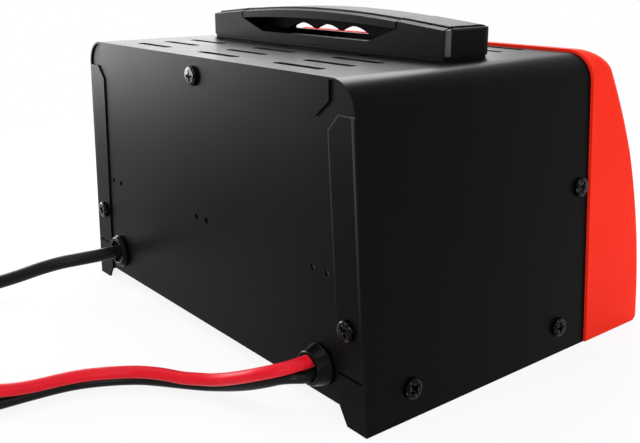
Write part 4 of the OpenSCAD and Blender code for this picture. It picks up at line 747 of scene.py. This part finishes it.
pad_l, pad_t, pad_low, land_drop = 116, handle_t * 0.35, slope_top - 4.2, 1.1
groove_pitch, groove_depth, rib_t, rib_y = 22, 2.8, 3.2, handle_y + 2.6
pad_side = []
for i in range(117):
    x = -pad_l / 2 + pad_l * i / 116
    past = abs(x) - 1.5 * groove_pitch
    if past < 0:
        off = (x / groove_pitch + 0.5) % 1 - 0.5
        low = pad_low + groove_depth * (1 - 4 * off ** 2)
    else:
        low = pad_low - land_drop * min(1, past / 3)
    pad_side.append((x, max(low, bar_top + (abs(x) - slope_foot) / 3 + 0.5)))
over = [(x, grip_under + arch(x, under_rise) + 0.3) for x, z in reversed(pad_side)]
pad = prisms("finger_pad", (at_y(pad_side + over, rib_y), (0, rib_t, 0)))
pad_body = [(-pad_l / 2, pad_low + groove_depth), (pad_l / 2, pad_low + groove_depth)] + over
join_solids(pad, prisms("pad_body", (at_y(pad_body, handle_y - pad_t / 2), (0, pad_t, 0))), "UNION")
pad_rubber = moulded("pad_rubber", (0.002, 0.002, 0.002), 0.6, 0.8, 0.04, 0.02)
put(soften(pad, 0.3), "grip", pad_rubber, "pad_rubber", "grip_pad")

# ---------------------------------------------------------------- case screws
# Black zinc pan-head screws with a cross recess: three in the rear flanges and
# three in each side wall, driven into the chassis and the moulding's tongue.


def turned_wall(bm, place, profile, sides):
    """A profile of (radius, height) turned about a frame's Z, closed at its start.
    Returns its rings of points."""
    rings = [[bm.verts.new(place @ Vector((r * math.cos(t), r * math.sin(t), z)))
              for t in (2 * math.pi * i / sides for i in range(sides))] for r, z in profile]
    ring_walls(bm, rings)
    bm.faces.new(reversed(rings[0]))
    return rings


def pan_screw(bm, place, d=10, h=2.4, sides=48):
    """A screw head about Z, standing on z = 0, with a deep tapered cross recess."""
    def dome(r):
        return h * (0.86 + 0.14 * math.sqrt(max(0, 1 - (2 * r / d) ** 2)))

    shoulder = d / 2 - 1.35
    profile = [(d / 2 - 0.3, 0), (d / 2, 0.3), (d / 2 - 0.15, h * 0.5)]
    profile += [(shoulder + 1.2 * math.cos(a), dome(shoulder) - 1.1 + 1.1 * math.sin(a))
                for a in (math.radians(15 * i) for i in range(7))]
    profile.append((d * 0.36, dome(d * 0.36)))
    brim = turned_wall(bm, place, profile, sides)[-1]
    arm, half = d * 0.30, 0.85
    cross = []
    for q in range(4):
        a = math.pi / 2 * q
        for u, v in ((half, -half), (arm, -half * 0.75), (arm, half * 0.75)):
            cross.append(Vector((u * math.cos(a) - v * math.sin(a), u * math.sin(a) + v * math.cos(a), 0)))
    top = [bm.verts.new(place @ (p + Vector((0, 0, dome(p.length))))) for p in cross]
    low = [bm.verts.new(place @ (p * 0.5 + Vector((0, 0, h * 0.15)))) for p in cross]
    for i in range(12):
        j = (i + 1) % 12
        bm.faces.new((top[j], top[i], low[i], low[j]))
    bm.faces.new(low)
    for i in range(sides):
        j = (i + 1) % sides
        near = top[(12 * i // sides + 1) % 12]
        bm.faces.new((brim[i], brim[j], near))
    for i in range(12):
        j = (i + 1) % 12
        corner = brim[(i * sides // 12) % sides]
        bm.faces.new((top[i], corner, top[j]))


def square_to(point, out):
    """A frame at a point whose Z points along a direction."""
    return Matrix.Translation(point) @ Vector(out).to_track_quat("Z", "Y").to_matrix().to_4x4()


flange_screw_z, low_screw_z, high_screw_z = 45.3, 14.6, 85
rear_places = [square_to((0, rear_y, case_h - flange_h * 0.57), (0, 1, 0))]
rear_places += [square_to((s * (half_w(flange_screw_z) - flange_w * 0.58), rear_y, flange_screw_z), (0, 1, 0))
                for s in (-1, 1)]
side_spots = (join_y + 23, low_screw_z), (rear_y - 27, low_screw_z), (join_y + 7.2, high_screw_z)
side_places = [square_to((s * half_w(z), y, z), (s * math.cos(lean), 0, math.sin(lean)))
               for s in (-1, 1) for y, z in side_spots]
black_zinc = Finish("black_zinc", (0.010, 0.010, 0.011), 0.2, Metallic=1.0)
cloud = black_zinc.noise(1.6, 4)
# Painted glints: small lighter spots scattered over the screw heads.
painted_highlight = black_zinc.noise(1.1, 2).between(0.54, 0.66)
black_zinc.set("Base Color", black_zinc.blend(painted_highlight, (0.004, 0.004, 0.0045), (0.055, 0.055, 0.058)))
black_zinc.set("Roughness", 0.10 + cloud * 0.16)
black_zinc.bump(black_zinc.noise(0.8), 0.05, 0.7)
for name, node, places in (("rear_case_screws", "rear_screws", rear_places),
                           ("side_case_screws", "side_screws", side_places)):
    spun = [place @ Matrix.Rotation(0.6 * i, 4, "Z") for i, place in enumerate(places)]
    screws = solid(name, lambda bm: [pan_screw(bm, place) for place in spun])
    put(soften(screws, 0), "charger", black_zinc, "black_screw", node)

# ---------------------------------------------------------------- lead bushings
# Black nylon bushings, snapped into the rear panel from outside, that hold the
# leads and ease their bend: a rounded rim outside and a long neck inside.

panel_y, entry_x, entry_z, pair_gap = rear_y - sheet, 100, 22.5, 3.5
bushing_in, bushing_r, neck_r = 17, 10, 7.9
mains_out, lead_out, lead_rim_out = 3, 8.5, 6.9


def turned(bm, place, profile):
    """A closed solid turned about a frame's Z from a profile of (radius, height)."""
    bm.faces.new(turned_wall(bm, place, profile, 64)[-1])


bushing_black = moulded("bushing_black", (0.0015, 0.0015, 0.0016), 0.16, 0.6, 0.006, 0.07)
for name, node, x, out, rim_r, bore_r, bores in (
        ("mains_bushing_rim", "mains_bushing", entry_x, mains_out + sheet, 9.2, 4.1, (0,)),
        ("charging_bushing_rim", "lead_bushing", -entry_x, lead_rim_out + sheet, 8.2, 3.1,
         (-pair_gap, pair_gap))):
    neck = [(neck_r - 0.9, -bushing_in), (neck_r - 0.4, -bushing_in + 2), (neck_r, -3), (neck_r, 0)]
    collar = [(bushing_r - 0.3, 0), (bushing_r, 0.3), (bushing_r, 1.9), (bushing_r - 0.2, 2.2)]
    rim = arc(rim_r - 1, out - 1, 1, 0, 9)
    cup = arc(rim_r - 1.8, out - 0.7, 0.7, 90, 6) + [(rim_r - 2.6, out - 2), (rim_r - 3, out - 2.4)]
    place = square_to((x, panel_y, entry_z), (0, 1, 0))
    bushing = solid(name, lambda bm: turned(bm, place, neck + collar + rim + cup))
    for up in bores:
        drill = arc(x, entry_z + up, bore_r, 0, 36, 360)[:-1]
        bore = prisms("bore", (at_y(drill, panel_y - bushing_in - 2), (0, bushing_in + out + 4, 0)))
        join_solids(bushing, bore)
    put(soften(bushing, 0), "charger", bushing_black, "bushing_rubber", node)

# ---------------------------------------------------------------- leads
# A round black mains lead, and a red and a black charging lead laid together.
# Each runs out along the floor to its coil, and from there to its plug or clamp.

turn_points = 48
mains_face, lead_face = rear_y + mains_out, rear_y + lead_out


def coil(centre, r, turns, pitch, z, layer):
    """Turns that spiral in, climb a layer and spiral out again, from the coil's left side."""
    points = []
    for i in range(int(turns * turn_points) + 1):
        t = i / turn_points
        a = math.pi - 2 * math.pi * t
        rt = r - pitch * min(t, turns - t)
        points.append((centre[0] + rt * math.cos(a), centre[1] + rt * math.sin(a),
                       z + layer * min(1, max(0, (t - turns / 2 + 0.25) / 0.5))))
    return points


def eased(route, step):
    """A smooth line through a route's points, in steps of about that many millimetres."""
    points = [Vector(p) for p in route]
    ends = [2 * points[0] - points[1], *points, 2 * points[-1] - points[-2]]
    line = []
    for a, b, c, d in zip(ends, ends[1:], ends[2:], ends[3:]):
        count = max(1, round((c - b).length / step))
        for i in range(count):
            t = i / count
            line.append(0.5 * (2 * b + (c - a) * t + (2 * a - 5 * b + 4 * c - d) * t ** 2
                               + (3 * b - a - 3 * c + d) * t ** 3))
    return [tuple(p) for p in line] + [tuple(points[-1])]


def lead(name, d, routes):
    """A round lead as a curve along its own line. Returns it with its length in metres."""
    line = []
    for route in routes:
        line += [p for p in route if not line or (Vector(p) - Vector(line[-1])).length > 0.8]
    curve = bpy.data.curves.new(name, "CURVE")
    curve.dimensions, curve.use_fill_caps = "3D", True
    curve.bevel_depth, curve.bevel_resolution = d / 2000, 5
    spline = curve.splines.new("POLY")
    spline.points.add(len(line) - 1)
    for point, p in zip(spline.points, line):
        point.co = (*(c / 1000 for c in p), 1)
    spline.use_smooth = True
    made = bpy.data.objects.new(name, curve)
    bpy.context.scene.collection.objects.link(made)
    return made, sum((Vector(a) - Vector(b)).length for a, b in zip(line, line[1:])) / 1000


def behind(route):
    """A route whose points are measured from the rear face."""
    return [(x, rear_y + y, z) for x, y, z in route]


mains_route = behind([
    (100, 3, 22.5), (100, 4.8, 22.5), (101, 12, 22.2), (104, 25, 21.5), (109, 35.5, 20), (115, 46, 17),
    (121.5, 57, 13), (128, 67, 9.5), (135, 77, 6.5), (141, 87, 5), (145.6, 96.5, 4.6), (148.6, 105, 4.6),
    (150, 112, 4.6), (150, 120, 4.6)])
mains_tail_route = behind([
    (150, 136, 13.3), (150, 138.5, 13.3), (150, 147, 12.5), (150, 160, 9.5), (152, 176, 10), (160, 191, 13),
    (173, 202, 17), (184, 206, 19), (194, 206, 19)])
black_route = behind([
    (-100, 8.5, 19), (-99.8, 10, 19.3), (-98.2, 12.6, 19.5), (-93.3, 16.2, 18.3), (-86.7, 19.9, 15.3),
    (-78, 22.8, 11.3), (-68.6, 25.4, 7.7), (-59.6, 28.6, 5), (-52.2, 32.9, 3.7), (-42.9, 40.5, 3.6),
    (-35, 46.9, 3.6), (-29.2, 52.3, 3.6), (-24.5, 58.3, 3.6), (-20.5, 64.7, 3.6), (-17.1, 71.2, 3.6),
    (-14.4, 78, 3.6), (-12.6, 85.1, 3.6), (-11.2, 96, 3.6), (-10.2, 109, 3.6), (-9.4, 122, 3.6),
    (-9, 135, 3.6), (-9, 146, 3.6)])
red_route = behind([
    (-100, 8.5, 26), (-100, 10, 26), (-99.5, 12, 25.8), (-98.3, 15.3, 25.2), (-95.9, 18.4, 24.2),
    (-91.9, 21.4, 22.4), (-86.7, 24.2, 20.1), (-80.6, 26.5, 17.3), (-73.9, 28.7, 14.4), (-67.2, 30.9, 11.8),
    (-61.2, 33.3, 9.9), (-55.5, 36.2, 8.9), (-48.9, 41.2, 8.5), (-41.9, 46.1, 8.9), (-35.6, 51, 9),
    (-30.1, 56.6, 9), (-25.9, 62.7, 9), (-22.1, 69.1, 9), (-18.9, 75.7, 9), (-16.8, 82.5, 9),
    (-15.4, 90, 9), (-14.6, 99, 9.3), (-13.6, 108, 10.2), (-12, 117, 11.9), (-10.6, 126, 14.2),
    (-9.4, 135, 16.3), (-9, 141, 16.8), (-9, 146, 16.8)])
black_tail_route = behind([
    (-9, 158, 10.2), (-9, 160, 10.2), (-9.5, 168, 9), (-14, 181, 5), (-23, 191, 3.6), (-31, 197, 5.5),
    (-40, 200, 8.3), (-48, 200, 8.3)])
red_tail_route = behind([
    (-9, 158, 23.4), (-9, 160.5, 23.4), (-9, 169, 21), (-4, 184, 14), (6, 196, 7), (20, 203, 3.8),
    (36, 205.5, 4.5), (52, 206, 8.3), (62, 206, 8.3)])

mains_d, charging_d = 8, 6
mains_coil = coil((206, rear_y + 128), r=56, turns=6, pitch=8.7, z=4.6, layer=8.7)
black_coil, red_coil = (coil((31, rear_y + 152), r=40, turns=5, pitch=6.6, z=z, layer=6.6)
                        for z in (3.6, 16.8))
mains_cord, mains_length = lead("mains_cord", mains_d,
                                [eased(mains_route, 4), mains_coil, eased(mains_tail_route, 4)])
black_cord, black_length = lead("black_cord", charging_d,
                                [eased(black_route, 3), black_coil, eased(black_tail_route, 3)])
red_cord, red_length = lead("red_cord", charging_d,
                            [eased(red_route, 3), red_coil, eased(red_tail_route, 3)])


def sheath(name, colour, roughness):
    """Soft extruded insulation: faint draw lines, dull bloom and small scuffs."""
    skin = Finish(name, colour, roughness, Specular_IOR_Level=0.12)
    bloom = skin.noise(14, 4)
    scuff = skin.noise(1.4, 3).between(0.66, 0.74)
    skin.set("Base Color", skin.blend(bloom, shade(colour, 0.85), shade(colour, 1.15)))
    skin.set("Roughness", roughness - 0.05 + bloom * 0.1 + scuff * 0.12)
    return skin.bump(skin.noise(0.7, 2), 0.03, 0.4)


cord_black = sheath("cord_black", (0.004, 0.004, 0.0045), 0.30)
cord_red = sheath("cord_red", (0.64, 0.007, 0.018), 0.30)
for kind, cord, length, d, finish, slot, start, far, pieces in (
        ("mains", mains_cord, mains_length, mains_d, cord_black, "cord_black",
         (entry_x, mains_face, entry_z), "plug", ["plug_body", "plug_pins", "coil_ties"]),
        ("black", black_cord, black_length, charging_d, cord_black, "cord_black",
         (-entry_x, lead_face, entry_z - pair_gap), "connector",
         ["black_clamp_arm", "black_clamp_jaw", "black_clamp_spring", "clamp_pins"]),
        ("red", red_cord, red_length, charging_d, cord_red, "cord_red",
         (-entry_x, lead_face, entry_z + pair_gap), "connector",
         ["red_clamp_arm", "red_clamp_jaw", "red_clamp_spring"])):
    put(cord, "charger", finish, slot, kind + "_lead", kind + "_coil", kind + "_tail")
    tuple(c / 1000 for c in start)
    d / 1000
dress("coil_ties", moulded("tie_black", (0.012, 0.012, 0.012), 0.5))

# ---------------------------------------------------------------- plug
# A moulded mains plug with a tapered strain relief and two nickel-plated pins.

dress("plug_body", moulded("plug_black", (0.009, 0.009, 0.010), 0.4, 0.7, 0.03))
dress("plug_pins", zinc("nickel", (0.72, 0.70, 0.66), 0.2))

# ---------------------------------------------------------------- battery clamps
# Two sprung clamps, red for the positive post and black for the negative one.
# Each has a fixed arm that holds the lead, an arm that opens, a spring and a pin.

clamp_red = moulded("clamp_red", (0.55, 0.012, 0.018), 0.35, 0.6, 0.02)
clamp_black = moulded("clamp_black", (0.010, 0.010, 0.011), 0.35, 0.6, 0.02)
for colour, finish in (("red", clamp_red), ("black", clamp_black)):
    dress(colour + "_clamp_arm", finish)
    dress(colour + "_clamp_jaw", finish)
    dress(colour + "_clamp_spring", bright_zinc)
dress("clamp_pins", bright_zinc)

# ---------------------------------------------------------------- studio
# A plain white floor that keeps the object's shadow, a white surround, and soft
# lamps: "far" and "high" give the top its sheen, "low" and "near" the edges theirs.


def seen_straight_on(nodes):
    """1 for what the camera, a reflection or a clear piece shows of the surround, else 0."""
    seen, glossy, through = (nodes.node("ShaderNodeLightPath", output=ray)
                             for ray in ("Is Camera Ray", "Is Glossy Ray", "Is Transmission Ray"))
    return seen.maths("MAXIMUM", seen.maths("MAXIMUM", seen, glossy), through)


floor_reach = 8000
floor_corners = [(x * floor_reach, y * floor_reach, 0) for x, y in ((-1, -1), (1, -1), (1, 1), (-1, 1))]
floor = solid("floor", lambda bm: bm.faces.new([bm.verts.new(p) for p in floor_corners]))
white = Finish("studio_white", (0.85, 0.85, 0.85), 0.9, Specular_IOR_Level=0.0)
away = white.node("ShaderNodeVectorMath", {"operation": "LENGTH"}, {0: white.place()}, 1)
share = seen_straight_on(white) * (0.88 + away.between(0.25, 0.7) * 0.12)
glow = white.node("ShaderNodeEmission", {}, {"Color": (1, 1, 1, 1), "Strength": 1.0})
both = white.node("ShaderNodeMixShader", {}, {0: share, 1: Value(white, white.shader.outputs[0]), 2: glow})
white.tree.links.new(both.socket, white.tree.nodes["Material Output"].inputs["Surface"])
floor.data.materials.append(white.material)

camera = bpy.data.objects.new("camera", bpy.data.cameras.new("camera"))
bpy.context.scene.collection.objects.link(camera)
camera.location = (-0.36342, 0.30540, 0.19130)
camera.rotation_euler = [math.radians(a) for a in (73.0278, 0.2247, -128.4248)]
camera.data.sensor_width, camera.data.lens = 36, 46.82
camera.data.clip_start = 0.01
bpy.context.scene.camera = camera

world = bpy.data.worlds.new("surround")
bpy.context.scene.world = world
surround = Nodes(world)
surround.tree.nodes.remove(surround.tree.nodes["Background"])
pale, bright = (surround.node("ShaderNodeBackground", {}, {"Color": (1, 1, 1, 1), "Strength": strength})
                for strength in (0.55, 1.0))
mixed = surround.node("ShaderNodeMixShader", {}, {0: seen_straight_on(surround), 1: pale, 2: bright})
surround.tree.links.new(mixed.socket, surround.tree.nodes["World Output"].inputs["Surface"])


def soft_lamp(name, at, aim, size, watts):
    """A rectangular lamp, in metres and watts, aimed at a point."""
    lamp = bpy.data.objects.new(name, bpy.data.lights.new(name, "AREA"))
    bpy.context.scene.collection.objects.link(lamp)
    lamp.data.shape, lamp.data.energy = "RECTANGLE", watts
    lamp.data.size, lamp.data.size_y = size
    lamp.location = at
    lamp.rotation_euler = (Vector(aim) - Vector(at)).to_track_quat("-Z", "Y").to_euler()


soft_lamp("overhead", (0.1, 0.2, 1.2), (0, 0, 0.1), (1.2, 1.0), 6)
soft_lamp("far", (1.15, -0.63, 0.55), (0, 0, 0.1), (1.2, 0.9), 12)
soft_lamp("high", (0.50, -0.63, 0.90), (-0.1, 0, 0.14), (0.5, 0.5), 14)
soft_lamp("left", (1.0, 0.45, 0.25), (0.05, 0.09, 0.08), (0.8, 0.5), 16)
soft_lamp("right", (-1.3, -0.2, 0.7), (0, 0, 0.08), (0.8, 0.8), 3)
soft_lamp("low", (-0.40, 0.42, 0.05), (-0.1, 0.02, 0.12), (0.12, 0.08), 0.35)
soft_lamp("near", (-0.75, 0.80, 0.85), (-0.08, 0.05, 0.08), (0.25, 0.25), 2)
bpy.context.scene.view_settings.view_transform = "Standard"
